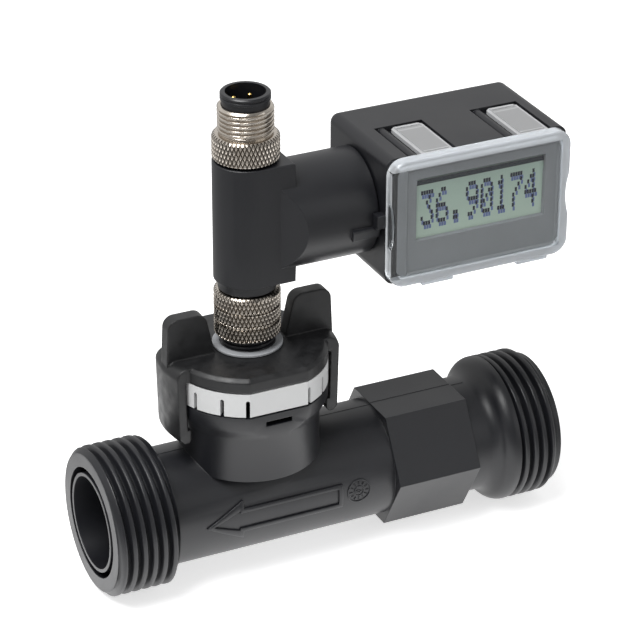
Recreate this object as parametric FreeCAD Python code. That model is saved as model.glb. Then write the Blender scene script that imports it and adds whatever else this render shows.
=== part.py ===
import FreeCAD, Part
import math
import os

V = FreeCAD.Vector

# Frame: X runs along the pipe, +X towards the inlet, +Z up, origin on the pipe axis
# straight under the sensor column. All lengths are millimetres.

# General clearances
seat_gap = 0.1
turn_gap = 0.07
face_gap = 0.35

# Measuring tube
outlet_x = -37.3
inlet_x = 70.4
thread_r = 16.62
thread_chamfer = 1.2
outlet_thread_length = 14.3
inlet_thread_length = 11.4
thread_end_bevel = 0.8
tube_r = 13.1
bore_r = 10.3
lip_wall = 0.75
core_groove_width = 1.3
core_groove_depth = 9.0
hex_across_flats = 27.0
hex_start_x = 29.6
hex_length = 20.0
shoulder_length = 5.6

# Bluff body across the bore, upstream of the sensing paddle
bluff_front_x = 17.0
bluff_length = 6.5
bluff_front_width = 5.4
bluff_rear_width = 2.4

# Sensor boss with its lock flange
boss_r = 15.5
boss_bottom_z = 9.8
boss_root_step = 3.0
flange_r = 17.35
flange_flat = 16.0
flange_cone_z = 20.0
flange_edge_z = 23.6
flange_top_z = 26.3
flange_slot_length = 6.1
flange_slot_height = 1.15
flange_slot_depth = 3.0
boss_bore_r = 11.0
boss_floor_z = 13.6
stem_r = 4.5
stem_length = 5.5

# Sensor insert
insert_rim_wall = 2.9
insert_floor = 2.6
insert_top_z = 24.4
paddle_thickness = 1.5
paddle_front_x = 3.2
paddle_rear_x = -4.2
paddle_tip_z = -7.0
oring_z = 17.8
oring_section = 1.8
piezo_width = 3.0
piezo_thickness = 0.6
piezo_length = 9.0
sensor_board_z = 20.6
board_thickness = 1.2

# Sensor head, slotted ring and locking cap
head_flange_height = 2.0
head_collar_r = 9.5
head_neck_r = 7.0
ring_bottom_z = 26.7
ring_height = 5.5
ring_wall = 1.7
ring_web = 1.6
slot_width = 0.85
slot_height = 3.9
slot_angles_deg = (24.4, 42.8, 64.3)
cap_plate = 3.2
cap_bevel = 0.8
arm_gap = 0.75
arm_wall = 1.8
arm_half_width = 6.0
arm_shoulder_r = 2.4
hook_bottom_z = 17.7
hook_height = 3.1
hook_clear = 0.1
hook_round = 0.9
wing_thickness = 3.1
wing_inner_r = 8.1
wing_lean = 2.4
wing_outer_lean = 0.5
wing_height = 9.7
wing_corner = 2.4
washer_r = 8.1
washer_thickness = 1.0

# Round plug connections
m12_r = 6.0
m12_bore_r = 4.8
wire_bore_r = 4.3
sensor_shell_length = 17.9
sensor_shell_top_z = 45.4
pin_r = 0.5
pin_circle_r = 2.65
pin_count = 4
contact_r = 0.9
nut_r = 7.2
nut_bottom_z = 38.6
nut_height = 10.6
nut_groove_pitch = 3.55
nut_groove_depth = 0.35
nut_groove_width = 0.5
nut_lip = 1.55
nut_bore_gap = 0.08
carrier_neck_r = 5.0
carrier_shoulder_height = 1.2
seal_height = 0.75
socket_depth = 5.2
contact_rise = 0.8

# Tee body
tee_bottom_z = 50.9
tee_top_z = 79.0
tee_r = 7.2
tee_right_x = 8.0
tee_collar_r = 6.3
tee_tab_draft = 0.4
tee_round = 0.35
neck_r = 11.6
neck_z = 64.5
neck_start_x = 4.6
neck_wire_r = 5.5
neck_wide_start = 12.6
key_length = 6.3
key_width = 2.4
key_height = 1.0
key_angle_deg = 12.2
spigot_r = 9.2
spigot_length = 4.9
spigot_bore_r = 7.2
clip_width = 1.0
clip_gap = 0.15
clip_rise = 1.0
clip_depth = 0.8
clip_opening_deg = 40.0
neck_ring_section = 1.1

# Upper plug
plug_socket_depth = 8.8
knurl_height = 5.6
undercut_height = 0.5
undercut_depth = 0.45
thread_sleeve_length = 7.0
plug_body_r = 5.05
plug_rim_r = 5.35
plug_rim_height = 1.6
plug_cup_r = 4.3
plug_cup_depth = 8.2
plug_key_width = 1.4
plug_pin_drop = 1.6
pin_tip = 0.2

# Display housing
box_left_x = 25.7
box_length = 43.0
box_front_y = -13.9
box_depth = 28.1
box_height = 29.1
box_wall = 2.2
box_round = 2.1
box_inner_round = 1.4
lug_length = 1.9
lug_low_z = -1.1
lug_high_z = 1.9
lug_rise = 2.4
post_r = 1.6
post_inset_x = 7.6
post_inset_z = 3.6

# Cover tabs, measured from the left face of the housing
tab_starts = (8.4, 31.4)
tab_width = 7.4
tab_rear_y = 1.2
tab_thickness = 0.9
tab_corner = 0.9
pad_rise = 0.25
pad_margin = 0.75
pad_rear = 1.9
ridge_start = 0.6
ridge_length = 0.7
tab_side_gap = 0.5
rail_width = 2.3
rail_gap = 0.7
recess_depth = 1.35
lower_tab_drop = 0.3

# Front panel, screen and clear cover
panel_thickness = 1.05
panel_recess = 0.35
panel_edge_gap = 0.25
panel_rim_height = 1.3
panel_rim_wall = 0.9
panel_rim_gap = 0.12
panel_round = 2.2
field_left = 2.75
field_right = 0.7
field_low = 0.55
field_high = 1.2
field_slope = 0.35
window_offset_x = 0.7
window_offset_z = 1.5
window_length = 30.4
window_height = 12.7
window_slope = 0.3
screen_margin = 0.8
screen_thickness = 1.6
strip_width = 1.6
strip_height = 1.2
cover_skirt = 1.7
tab_root = 1.2
cover_plate = 0.9
cover_air_gap = 0.6
cover_round = 3.6
notch_r = 16.0
notch_depth = 1.0
notch_drop = 0.3


def cylinder_z(r, z0, z1, x=0.0, y=0.0):
    return Part.makeCylinder(r, z1 - z0, V(x, y, z0), V(0, 0, 1))


def cylinder_x(r, x0, x1, y=0.0, z=0.0):
    return Part.makeCylinder(r, x1 - x0, V(x0, y, z), V(1, 0, 0))


def cylinder_y(r, y0, y1, x=0.0, z=0.0):
    return Part.makeCylinder(r, y1 - y0, V(x, y0, z), V(0, 1, 0))


def block(x0, x1, y0, y1, z0, z1):
    return Part.makeBox(x1 - x0, y1 - y0, z1 - z0, V(x0, y0, z0))


def prism(points, direction):
    wire = Part.makePolygon([V(*p) for p in points] + [V(*points[0])])
    return Part.Face(wire).extrude(V(*direction))


def revolve(points, axis):
    wire = Part.makePolygon([V(*p) for p in points] + [V(*points[0])])
    return Part.Face(wire).revolve(V(0, 0, 0), V(*axis), 360)


def turned_z(profile):
    """Solid of revolution about Z from (radius, z) points."""
    return revolve([(r, 0, z) for r, z in profile], (0, 0, 1))


def turned_x(profile):
    """Solid of revolution about X from (x, radius) points."""
    return revolve([(x, r, 0) for x, r in profile], (1, 0, 0))


def fuse(shapes):
    body = shapes[0]
    for other in shapes[1:]:
        body = body.fuse(other)
    return body.removeSplitter()


def rounded(shape, radius, wanted):
    """Fillet the edges that the test function picks."""
    edges = [e for e in shape.Edges if wanted(e)]
    return shape.makeFillet(radius, edges)


def along(edge, axis):
    """True where a straight edge runs along the given axis."""
    if not isinstance(edge.Curve, Part.Line):
        return False
    d = edge.Curve.Direction
    return abs((d.x, d.y, d.z)[axis]) > 0.999


def slab_y(half, reach, z0, z1):
    return block(-reach, reach, -half, half, z0, z1)


def pins(r, z0, z1):
    """The pins of a round plug: a ring of equal round bars."""
    bars = []
    for i in range(pin_count):
        angle = math.radians(45 + i * 360.0 / pin_count)
        x = pin_circle_r * math.cos(angle)
        y = pin_circle_r * math.sin(angle)
        bars.append(cylinder_z(r, z0, z1, x, y))
    return bars


def s_curve(x0, r0, x1, r1):
    """Two tangent arcs that lead from one radius to another, level at both ends."""
    dx = x1 - x0
    dr = r1 - r0
    radius = (dx * dx + dr * dr) / (4.0 * dr)
    middle = V((x0 + x1) / 2.0, (r0 + r1) / 2.0, 0)
    half = math.asin(dx / 2.0 / radius) / 2.0
    low = V(x0 + radius * math.sin(half), r0 + radius - radius * math.cos(half), 0)
    high = V(x1 - radius * math.sin(half), r1 - radius + radius * math.cos(half), 0)
    first = Part.Arc(V(x0, r0, 0), low, middle).toShape()
    second = Part.Arc(middle, high, V(x1, r1, 0)).toShape()
    return first, second


def tube_outside():
    """The turned outside of the tube, with a rounded shoulder behind the inlet thread."""
    outlet_thread_end = outlet_x + outlet_thread_length
    inlet_thread_start = inlet_x - inlet_thread_length
    left = [
        (outlet_x, 0),
        (outlet_x, thread_r - thread_chamfer),
        (outlet_x + thread_chamfer, thread_r),
        (outlet_thread_end - thread_end_bevel, thread_r),
        (outlet_thread_end, thread_r - thread_end_bevel),
        (outlet_thread_end, tube_r),
        (inlet_thread_start - shoulder_length, tube_r),
    ]
    right = [
        (inlet_thread_start, thread_r),
        (inlet_x - thread_chamfer, thread_r),
        (inlet_x, thread_r - thread_chamfer),
        (inlet_x, 0),
    ]
    shoulder = s_curve(*left[-1], *right[0])
    edges = [Part.makeLine(V(*a, 0), V(*b, 0)) for a, b in zip(left, left[1:])]
    edges += shoulder
    edges += [Part.makeLine(V(*a, 0), V(*b, 0)) for a, b in zip(right, right[1:])]
    edges.append(Part.makeLine(V(*right[-1], 0), V(*left[0], 0)))
    face = Part.Face(Part.Wire(edges))
    return face.revolve(V(0, 0, 0), V(1, 0, 0), 360)


def hexagon():
    half = hex_across_flats / 2.0
    corner = half / math.cos(math.radians(30))
    points = []
    for i in range(6):
        angle = math.radians(60 * i)
        points.append((hex_start_x, corner * math.cos(angle), corner * math.sin(angle)))
    return prism(points, (hex_length, 0, 0))


def core_groove(x0, x1):
    """Ring-shaped core-out between the thread's wall and the thin lip round the bore."""
    inner = bore_r + lip_wall
    outer = inner + core_groove_width
    return cylinder_x(outer, x0, x1).cut(cylinder_x(inner, x0 - 1, x1 + 1))


def bluff_body():
    """Trapezoid bar that sheds the vortices, blunt side facing the inlet."""
    rear_x = bluff_front_x - bluff_length
    points = [
        (bluff_front_x, -bluff_front_width / 2, -bore_r - 1),
        (bluff_front_x, bluff_front_width / 2, -bore_r - 1),
        (rear_x, bluff_rear_width / 2, -bore_r - 1),
        (rear_x, -bluff_rear_width / 2, -bore_r - 1),
    ]
    return prism(points, (0, 0, 2 * bore_r + 2))


def measuring_tube():
    boss = turned_z([
        (0, 0),
        (boss_r - boss_root_step, 0),
        (boss_r - boss_root_step, boss_bottom_z),
        (boss_r, boss_bottom_z),
        (boss_r, flange_cone_z),
        (flange_r, flange_edge_z),
        (flange_r, flange_top_z),
        (0, flange_top_z),
    ])
    boss = boss.common(slab_y(flange_flat, flange_r + 1, -1, flange_top_z + 1))
    body = fuse([tube_outside(), hexagon(), boss])
    body = body.cut(cylinder_x(bore_r, outlet_x - 1, inlet_x + 1))
    body = body.cut(cylinder_z(boss_bore_r, boss_floor_z, flange_top_z + 1))
    body = body.cut(core_groove(outlet_x - 1, outlet_x + core_groove_depth))
    body = body.cut(core_groove(inlet_x - core_groove_depth, inlet_x + 1))
    body = body.cut(cylinder_z(stem_r + seat_gap, 0, boss_floor_z + 1))
    slot_z = (flange_edge_z + flange_slot_height / 2.0)
    body = body.cut(block(
        -flange_slot_length / 2, flange_slot_length / 2,
        -flange_flat - 1, -flange_flat + flange_slot_depth,
        slot_z - flange_slot_height / 2, slot_z + flange_slot_height / 2))
    return fuse([body, bluff_body()])


def sensor_insert():
    """Cup that closes the boss, with its stem and the paddle in the flow."""
    base_z = boss_floor_z + seat_gap
    outer = boss_bore_r - seat_gap
    groove_floor = outer - oring_section
    half = oring_section / 2.0 + seat_gap
    body = turned_z([
        (0, base_z - stem_length),
        (stem_r, base_z - stem_length),
        (stem_r, base_z),
        (outer, base_z),
        (outer, oring_z - half),
        (groove_floor, oring_z - half),
        (groove_floor, oring_z + half),
        (outer, oring_z + half),
        (outer, insert_top_z),
        (outer - insert_rim_wall, insert_top_z),
        (outer - insert_rim_wall, base_z + insert_floor),
        (0, base_z + insert_floor),
    ])
    blade = block(
        paddle_rear_x, paddle_front_x,
        -paddle_thickness / 2, paddle_thickness / 2, paddle_tip_z, base_z)
    blade = rounded(blade, paddle_thickness * 0.45, lambda e: along(e, 2))
    body = fuse([body, blade])
    return body.cut(piezo_space(seat_gap))


def piezo_space(extra):
    """Room for the bending element in the paddle's root, or the element itself."""
    top_z = boss_floor_z + seat_gap + insert_floor
    return block(
        -piezo_width / 2 - extra, piezo_width / 2 + extra,
        -piezo_thickness / 2 - extra / 2, piezo_thickness / 2 + extra / 2,
        top_z - piezo_length - extra, top_z + extra)


def ring_solid(centre_r, section, position, direction):
    return Part.makeTorus(centre_r, section / 2.0, V(*position), V(*direction))


def insert_oring():
    outer = boss_bore_r - 0.02
    centre = outer - oring_section / 2.0
    return ring_solid(centre, oring_section, (0, 0, oring_z), (0, 0, 1))


def sensor_board():
    """Round circuit board that rests on a step of chips above the cup's floor."""
    r = boss_bore_r - seat_gap - insert_rim_wall - seat_gap
    top = sensor_board_z + board_thickness
    body = cylinder_z(r, sensor_board_z, top)
    low = boss_floor_z + 2 * seat_gap + insert_floor
    for side in (-1, 1):
        x = side * r * 0.55
        body = body.fuse(block(x - 1.4, x + 1.4, -2.6, 2.6, low, sensor_board_z))
    return body.removeSplitter()


def head_levels():
    """Heights of the sensor head: foot, shoulder under the ring's web and top."""
    foot = insert_top_z + seat_gap
    shoulder = ring_bottom_z + ring_height - ring_web - seat_gap
    top = ring_bottom_z + ring_height + 2 * seat_gap + cap_plate - 2 * seat_gap
    return foot, shoulder, top


def sensor_head():
    """Turned head that closes the cup and carries the threaded plug shell."""
    foot, shoulder, top = head_levels()
    shell_foot = sensor_shell_top_z - sensor_shell_length - seat_gap
    return turned_z([
        (wire_bore_r, foot),
        (boss_bore_r - seat_gap, foot),
        (boss_bore_r - seat_gap, foot + head_flange_height),
        (head_collar_r, foot + head_flange_height),
        (head_collar_r, shoulder),
        (head_neck_r, shoulder),
        (head_neck_r, top),
        (m12_r + seat_gap / 2, top),
        (m12_r + seat_gap / 2, shell_foot),
        (wire_bore_r, shell_foot),
    ])


def slot_angles():
    """Angles of the ring's slots, measured from -Y, alike on both sides of both flats."""
    return [turn + side * step for turn in (0, 180) for side in (-1, 1) for step in slot_angles_deg]


def slotted_ring():
    top_z = ring_bottom_z + ring_height
    reach = flange_r + 1
    body = cylinder_z(flange_r, ring_bottom_z, top_z)
    body = body.common(slab_y(flange_flat, reach, ring_bottom_z, top_z))
    hollow = cylinder_z(flange_r - ring_wall, ring_bottom_z - 1, top_z - ring_web)
    hollow = hollow.common(slab_y(flange_flat - ring_wall, reach, 0, top_z))
    body = body.cut(hollow)
    body = body.cut(cylinder_z(head_neck_r + seat_gap, ring_bottom_z, top_z + 1))
    half = slot_width / 2.0
    straight = slot_height - half
    inner = flange_r - ring_wall - 2.5
    for angle in slot_angles():
        slot = block(-half, half, -reach, -inner, ring_bottom_z - 1, ring_bottom_z + straight)
        slot = slot.fuse(cylinder_y(half, -reach, -inner, 0, ring_bottom_z + straight))
        slot.rotate(V(0, 0, 0), V(0, 0, 1), angle)
        body = body.cut(slot)
    return body


def cap_bottom():
    return ring_bottom_z + ring_height + 2 * seat_gap


def cap_top():
    return cap_bottom() + cap_plate


def arm_radii():
    """Inner and outer radius of the latch arms."""
    inner = flange_r + arm_gap
    return inner, inner + arm_wall


def latch_arms():
    """Both arms as one turned section: bridge, rounded shoulder, wall and hook."""
    inner, outer = arm_radii()
    top = cap_top()
    foot = hook_bottom_z
    start = flange_r - 2.0
    round_x = outer - arm_shoulder_r
    turn = math.radians(45)
    crown = V(round_x + arm_shoulder_r * math.sin(turn), 0,
              top - arm_shoulder_r + arm_shoulder_r * math.cos(turn))
    points = [
        V(outer, 0, top - arm_shoulder_r),
        V(outer - 0.35, 0, foot + 1.0),
        V(outer - 1.3, 0, foot),
        V(inner - 0.35, 0, foot),
        V(inner, 0, cap_bottom()),
        V(start, 0, cap_bottom()),
        V(start, 0, top),
        V(round_x, 0, top),
    ]
    edges = [Part.makeLine(a, b) for a, b in zip(points, points[1:])]
    edges.append(Part.Arc(points[-1], crown, points[0]).toShape())
    section = Part.Face(Part.Wire(edges))
    body = section.revolve(V(0, 0, 0), V(0, 0, 1), 360)
    return body.common(slab_y(arm_half_width, outer + 1, foot - 1, top + 1))


def hooks():
    """Inward feet of the arms, with a flat inner face and a rounded lower edge."""
    inner, outer = arm_radii()
    feet = []
    for side in (-1, 1):
        near = side * (flange_flat + hook_clear)
        far = side * (inner + 0.6)
        foot = block(
            min(near, far), max(near, far),
            -arm_half_width, arm_half_width, hook_bottom_z, hook_bottom_z + hook_height)

        def lower_inner(edge, near=near):
            c = edge.CenterOfMass
            return along(edge, 1) and abs(c.x - near) < 0.01 and c.z < hook_bottom_z + 0.01

        foot = rounded(foot, hook_round, lower_inner)
        limit = cylinder_z(inner + 0.6, hook_bottom_z - 1, hook_bottom_z + hook_height + 1)
        feet.append(foot.common(limit))
    return feet


def wings():
    """Upright grip wings on the cap, leaning back from the nut, with rounded corners."""
    outer = arm_radii()[1] - 0.4
    low = cap_top() - 1.0
    high = cap_top() + wing_height
    plates = []
    for side in (-1, 1):
        profile = [
            (side * wing_inner_r, low),
            (side * (wing_inner_r + wing_lean), high),
            (side * (outer - wing_outer_lean), high),
            (side * outer, low),
            (side * outer, low - 1.5),
            (side * (wing_inner_r + 1), low - 1.5),
        ]
        plate = prism(
            [(x, -wing_thickness / 2, z) for x, z in profile], (0, wing_thickness, 0))

        def top_corner(edge):
            return along(edge, 1) and edge.CenterOfMass.z > high - 0.01

        plate = rounded(plate, wing_corner, top_corner)
        plates.append(plate)
    return plates


def locking_cap():
    """Twist-lock cap: plate, two hooked arms and two wings, moulded in one piece."""
    bottom = cap_bottom()
    top = cap_top()
    plate = turned_z([
        (0, bottom),
        (flange_r, bottom),
        (flange_r, top - cap_bevel),
        (flange_r - cap_bevel, top),
        (0, top),
    ])
    reach = flange_r + 1
    outline = prism([
        (-reach, -flange_flat, bottom - 1),
        (-reach, -flange_flat, top - cap_bevel),
        (-reach, -flange_flat + cap_bevel, top),
        (-reach, flange_flat - cap_bevel, top),
        (-reach, flange_flat, top - cap_bevel),
        (-reach, flange_flat, bottom - 1),
    ], (2 * reach, 0, 0))
    plate = plate.common(outline)
    body = fuse([plate, latch_arms()] + hooks() + wings())
    return body.cut(cylinder_z(head_neck_r + 2 * seat_gap, 0, cap_top() + 1))


def seal_washer():
    low = cap_top() + seat_gap
    body = cylinder_z(washer_r, low, low + washer_thickness)
    return body.cut(cylinder_z(m12_r + seat_gap, low - 1, low + washer_thickness + 1))


def sensor_plug_shell():
    low = sensor_shell_top_z - sensor_shell_length
    chamfer = 0.5
    return turned_z([
        (m12_bore_r, low),
        (m12_r, low),
        (m12_r, sensor_shell_top_z - chamfer),
        (m12_r - chamfer, sensor_shell_top_z),
        (m12_bore_r, sensor_shell_top_z),
    ])


def sensor_plug_insert():
    low = sensor_shell_top_z - sensor_shell_length
    high = nut_bottom_z
    body = cylinder_z(m12_bore_r - seat_gap / 2, low, high)
    for bar in pins(pin_r, low - 2, high + 1):
        body = body.cut(bar)
    return body


def sensor_plug_pins():
    low = sensor_shell_top_z - sensor_shell_length - 2.0
    return Part.makeCompound(pins(pin_r, low, sensor_shell_top_z - 0.8))


def nut_lip_bottom():
    return nut_bottom_z + nut_height - nut_lip


def coupling_nut():
    """Union nut with three knurled bands; its top lip hangs on the socket's shoulder."""
    top = nut_bottom_z + nut_height
    chamfer = 0.5
    bore = m12_r + nut_bore_gap
    profile = [
        (bore, nut_bottom_z),
        (nut_r - chamfer, nut_bottom_z),
        (nut_r, nut_bottom_z + chamfer),
    ]
    for i in (1, 2):
        middle = nut_bottom_z + i * nut_groove_pitch
        profile += [
            (nut_r, middle - nut_groove_width / 2),
            (nut_r - nut_groove_depth, middle - nut_groove_width / 2 + 0.1),
            (nut_r - nut_groove_depth, middle + nut_groove_width / 2 - 0.1),
            (nut_r, middle + nut_groove_width / 2),
        ]
    profile += [
        (nut_r, top - chamfer),
        (nut_r - chamfer, top),
        (carrier_neck_r + 0.15, top),
        (carrier_neck_r + 0.15, nut_lip_bottom()),
        (bore, nut_lip_bottom()),
    ]
    return turned_z(profile)


def carrier_levels():
    """Heights of the socket carrier: face, shoulder bottom and shoulder top."""
    face = nut_bottom_z + 0.4
    shoulder_top = nut_lip_bottom() - 0.12
    return face, shoulder_top - carrier_shoulder_height, shoulder_top


def socket_seal():
    low = sensor_shell_top_z + seat_gap
    high = low + seal_height
    body = cylinder_z(m12_r - seat_gap, low, high)
    return body.cut(cylinder_z(m12_bore_r - seat_gap, low - 1, high + 1))


def socket_carrier():
    """Contact carrier of the lower socket, held in the tee by its neck."""
    face, shoulder_low, shoulder_top = carrier_levels()
    top = tee_bottom_z + socket_depth
    body = turned_z([
        (0, face),
        (m12_bore_r - 0.2, face),
        (m12_bore_r - 0.2, shoulder_low),
        (m12_r - 0.15, shoulder_low),
        (m12_r - 0.15, shoulder_top),
        (carrier_neck_r, shoulder_top),
        (carrier_neck_r, top),
        (0, top),
    ])
    for bar in pins(contact_r + 0.05, face - 1, top + 1):
        body = body.cut(bar)
    return body


def socket_contacts():
    """Female contacts, open at the lower end for the pins and solid above."""
    low = nut_bottom_z + 0.7
    top = tee_bottom_z + socket_depth + contact_rise
    tubes = pins(contact_r, low, top)
    holes = pins(pin_r + 0.03, low - 1, sensor_shell_top_z + 1.0)
    return Part.makeCompound([tube.cut(hole) for tube, hole in zip(tubes, holes)])


def tee_column():
    """D-shaped column: round towards the outlet, square towards the display."""
    body = cylinder_z(tee_r, tee_bottom_z, tee_top_z)
    half = block(-tee_r - 1, 0, -tee_r, tee_r, tee_bottom_z, tee_top_z)
    body = body.common(half)
    low_right = tee_right_x + tee_tab_draft
    square = prism([
        (0, -tee_r, tee_bottom_z),
        (tee_right_x, -tee_r, tee_bottom_z),
        (low_right, -tee_r, neck_z),
        (tee_right_x, -tee_r, tee_top_z),
        (0, -tee_r, tee_top_z),
    ], (0, 2 * tee_r, 0))
    body = fuse([body, square])

    def top_rim(edge):
        return edge.BoundBox.ZMin > tee_top_z - 0.01 or edge.BoundBox.ZMax < tee_bottom_z + 0.01

    return rounded(body, tee_round, top_rim)


def neck_end():
    """The neck, its near end cut by two upright planes at 45 degrees."""
    end_x = box_left_x - face_gap
    body = cylinder_x(neck_r, neck_start_x, end_x, 0, neck_z)
    run = neck_r - tee_r + 1.0
    for side in (-1, 1):
        wedge = prism([
            (neck_start_x - 1, side * (tee_r - 1), neck_z - neck_r - 1),
            (neck_start_x + run, side * (neck_r + 1), neck_z - neck_r - 1),
            (neck_start_x - 1, side * (neck_r + 1), neck_z - neck_r - 1),
        ], (0, 0, 2 * neck_r + 2))
        body = body.cut(wedge)
    return body


def neck_key():
    """Stop bar along the neck that the display's lug meets at either end of its turn."""
    end_x = box_left_x - face_gap
    bar = block(
        end_x - key_length, end_x, -neck_r - key_height, -neck_r + 1,
        neck_z - key_width / 2, neck_z + key_width / 2)
    bar = rounded(bar, 0.3, lambda e: e.BoundBox.YMax < -neck_r)
    bar.rotate(V(0, 0, neck_z), V(1, 0, 0), key_angle_deg)
    return bar


def spigot():
    """Turned end of the neck that the housing swings on, grooved for seal and clip."""
    start = box_left_x - face_gap
    end = start + spigot_length
    ring_x = box_left_x + box_wall / 2.0
    ring_half = neck_ring_section / 2.0 + 0.08
    clip_x = box_left_x + box_wall + clip_gap
    profile = [
        (start - 1, 0),
        (start - 1, spigot_r),
        (ring_x - ring_half, spigot_r),
        (ring_x - ring_half, spigot_r - neck_ring_section),
        (ring_x + ring_half, spigot_r - neck_ring_section),
        (ring_x + ring_half, spigot_r),
        (clip_x - 0.03, spigot_r),
        (clip_x - 0.03, spigot_r - clip_depth),
        (clip_x + clip_width + 0.03, spigot_r - clip_depth),
        (clip_x + clip_width + 0.03, spigot_r),
        (end - 0.4, spigot_r),
        (end, spigot_r - 0.4),
        (end, 0),
    ]
    body = turned_x(profile)
    body.translate(V(0, 0, neck_z))
    return body


def tee_body():
    """Tee housing: column, neck, stop bar and spigot in one moulding, bored for wires."""
    collar = cylinder_z(tee_collar_r, nut_bottom_z + nut_height + face_gap, tee_bottom_z + 1)
    body = fuse([tee_column(), collar, neck_end(), neck_key(), spigot()])
    spigot_end = box_left_x - face_gap + spigot_length
    socket_top = tee_bottom_z + socket_depth + seat_gap
    plug_foot = tee_top_z - plug_socket_depth - seat_gap
    body = body.cut(cylinder_z(carrier_neck_r + seat_gap / 2, nut_bottom_z, socket_top))
    body = body.cut(cylinder_z(plug_body_r + seat_gap / 2, plug_foot, tee_top_z + 1))
    body = body.cut(cylinder_z(pin_circle_r + contact_r + 0.3, socket_top - 1, plug_foot + 1))
    body = body.cut(cylinder_x(neck_wire_r, 0, spigot_end + 1, 0, neck_z))
    return body.cut(cylinder_x(spigot_bore_r, neck_wide_start, spigot_end + 1, 0, neck_z))


def neck_seal():
    centre = spigot_r - neck_ring_section / 2.0
    x = box_left_x + box_wall / 2.0
    return ring_solid(centre, neck_ring_section, (x, 0, neck_z), (1, 0, 0))


def neck_clip():
    """Open spring ring in the spigot's groove that keeps the housing on."""
    x0 = box_left_x + box_wall + clip_gap
    outer = spigot_r + clip_rise
    body = cylinder_x(outer, x0, x0 + clip_width, 0, neck_z)
    body = body.cut(cylinder_x(spigot_r - clip_depth + 0.05, x0 - 1, x0 + clip_width + 1, 0, neck_z))
    half = math.radians(clip_opening_deg / 2)
    reach = outer + 2
    wedge = prism([
        (x0 - 1, 0, neck_z),
        (x0 - 1, reach * math.cos(half), neck_z + reach * math.sin(half)),
        (x0 - 1, reach * math.cos(half), neck_z - reach * math.sin(half)),
    ], (clip_width + 2, 0, 0))
    return body.cut(wedge)


def plug_levels():
    """Heights of the upper plug: knurled ring, sleeve top and rim top."""
    ring_low = tee_top_z + face_gap
    ring_high = ring_low + knurl_height
    sleeve_top = ring_high + undercut_height + thread_sleeve_length
    rim_top = sleeve_top + seat_gap + plug_rim_height
    return ring_low, ring_high, sleeve_top, rim_top


def plug_screw():
    """Knurled ring and threaded sleeve in one turned piece, free to spin."""
    low, high, top, _ = plug_levels()
    chamfer = 0.5
    bore = plug_body_r + 0.1
    neck = m12_r - undercut_depth
    return turned_z([
        (bore, low),
        (nut_r - chamfer, low),
        (nut_r, low + chamfer),
        (nut_r, high - chamfer),
        (nut_r - chamfer, high),
        (neck, high),
        (neck, high + undercut_height),
        (m12_r, high + undercut_height + 0.2),
        (m12_r, top - chamfer),
        (m12_r - chamfer, top),
        (bore, top),
    ])


def plug_insert():
    """Contact carrier with its flared rim, a cup round the pins and a coding key."""
    _, _, sleeve_top, rim_top = plug_levels()
    foot = tee_top_z - plug_socket_depth
    floor = rim_top - plug_cup_depth
    flare = sleeve_top + seat_gap
    body = turned_z([
        (0, foot),
        (plug_body_r, foot),
        (plug_body_r, flare),
        (plug_rim_r, flare + 0.15),
        (plug_rim_r, flare + 0.6),
        (plug_rim_r - 0.22, flare + 0.75),
        (plug_rim_r - 0.22, flare + 0.9),
        (plug_rim_r, flare + 1.05),
        (plug_rim_r, rim_top - 0.25),
        (plug_rim_r - 0.25, rim_top),
        (plug_cup_r, rim_top),
        (plug_cup_r, floor),
        (0, floor),
    ])
    key = block(
        -plug_key_width / 2, plug_key_width / 2,
        -plug_cup_r - 0.2, -plug_cup_r + 0.9, floor - 0.5, rim_top - 1.2)
    body = fuse([body, key])
    for bar in pins(pin_r, foot - 2, floor + 1):
        body = body.cut(bar)
    return body


def plug_pins():
    _, _, _, rim_top = plug_levels()
    foot = tee_top_z - plug_socket_depth - 2.5
    bars = []
    tip = rim_top - plug_pin_drop
    for bar in pins(pin_r, foot, tip):
        bars.append(bar.makeChamfer(pin_tip, [e for e in bar.Edges if e.BoundBox.ZMin > tip - 0.01]))
    return Part.makeCompound(bars)


def box_bounds():
    """Outer limits of the display housing."""
    half = box_height / 2.0
    return (
        box_left_x, box_left_x + box_length,
        box_front_y, box_front_y + box_depth,
        neck_z - half, neck_z + half)


def tab_spans():
    return [(box_left_x + start, box_left_x + start + tab_width) for start in tab_starts]


def housing_shell():
    x0, x1, y0, y1, z0, z1 = box_bounds()
    body = block(x0, x1, y0, y1, z0, z1)

    def outer_edge(edge):
        c = edge.CenterOfMass
        return c.y > y0 + 0.01

    body = rounded(body, box_round, outer_edge)
    room = block(x0 + box_wall, x1 - box_wall, y0 - 1, y1 - box_wall, z0 + box_wall, z1 - box_wall)

    def inner_edge(edge):
        return edge.CenterOfMass.y > y0 - 0.9

    return body.cut(rounded(room, box_inner_round, inner_edge))


def housing_lug():
    """Stop lug on the housing's face beside the neck."""
    x0 = box_left_x
    inner = neck_r + 0.3
    outer = neck_r + lug_rise
    lug = block(x0 - lug_length, x0 + 0.5, -outer, -inner + 0.6, neck_z + lug_low_z, neck_z + lug_high_z)
    lug = rounded(lug, 0.3, lambda e: along(e, 0) and e.CenterOfMass.y < -outer + 0.01)
    return lug.cut(cylinder_x(inner, x0 - lug_length - 1, x0, 0, neck_z))


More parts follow.
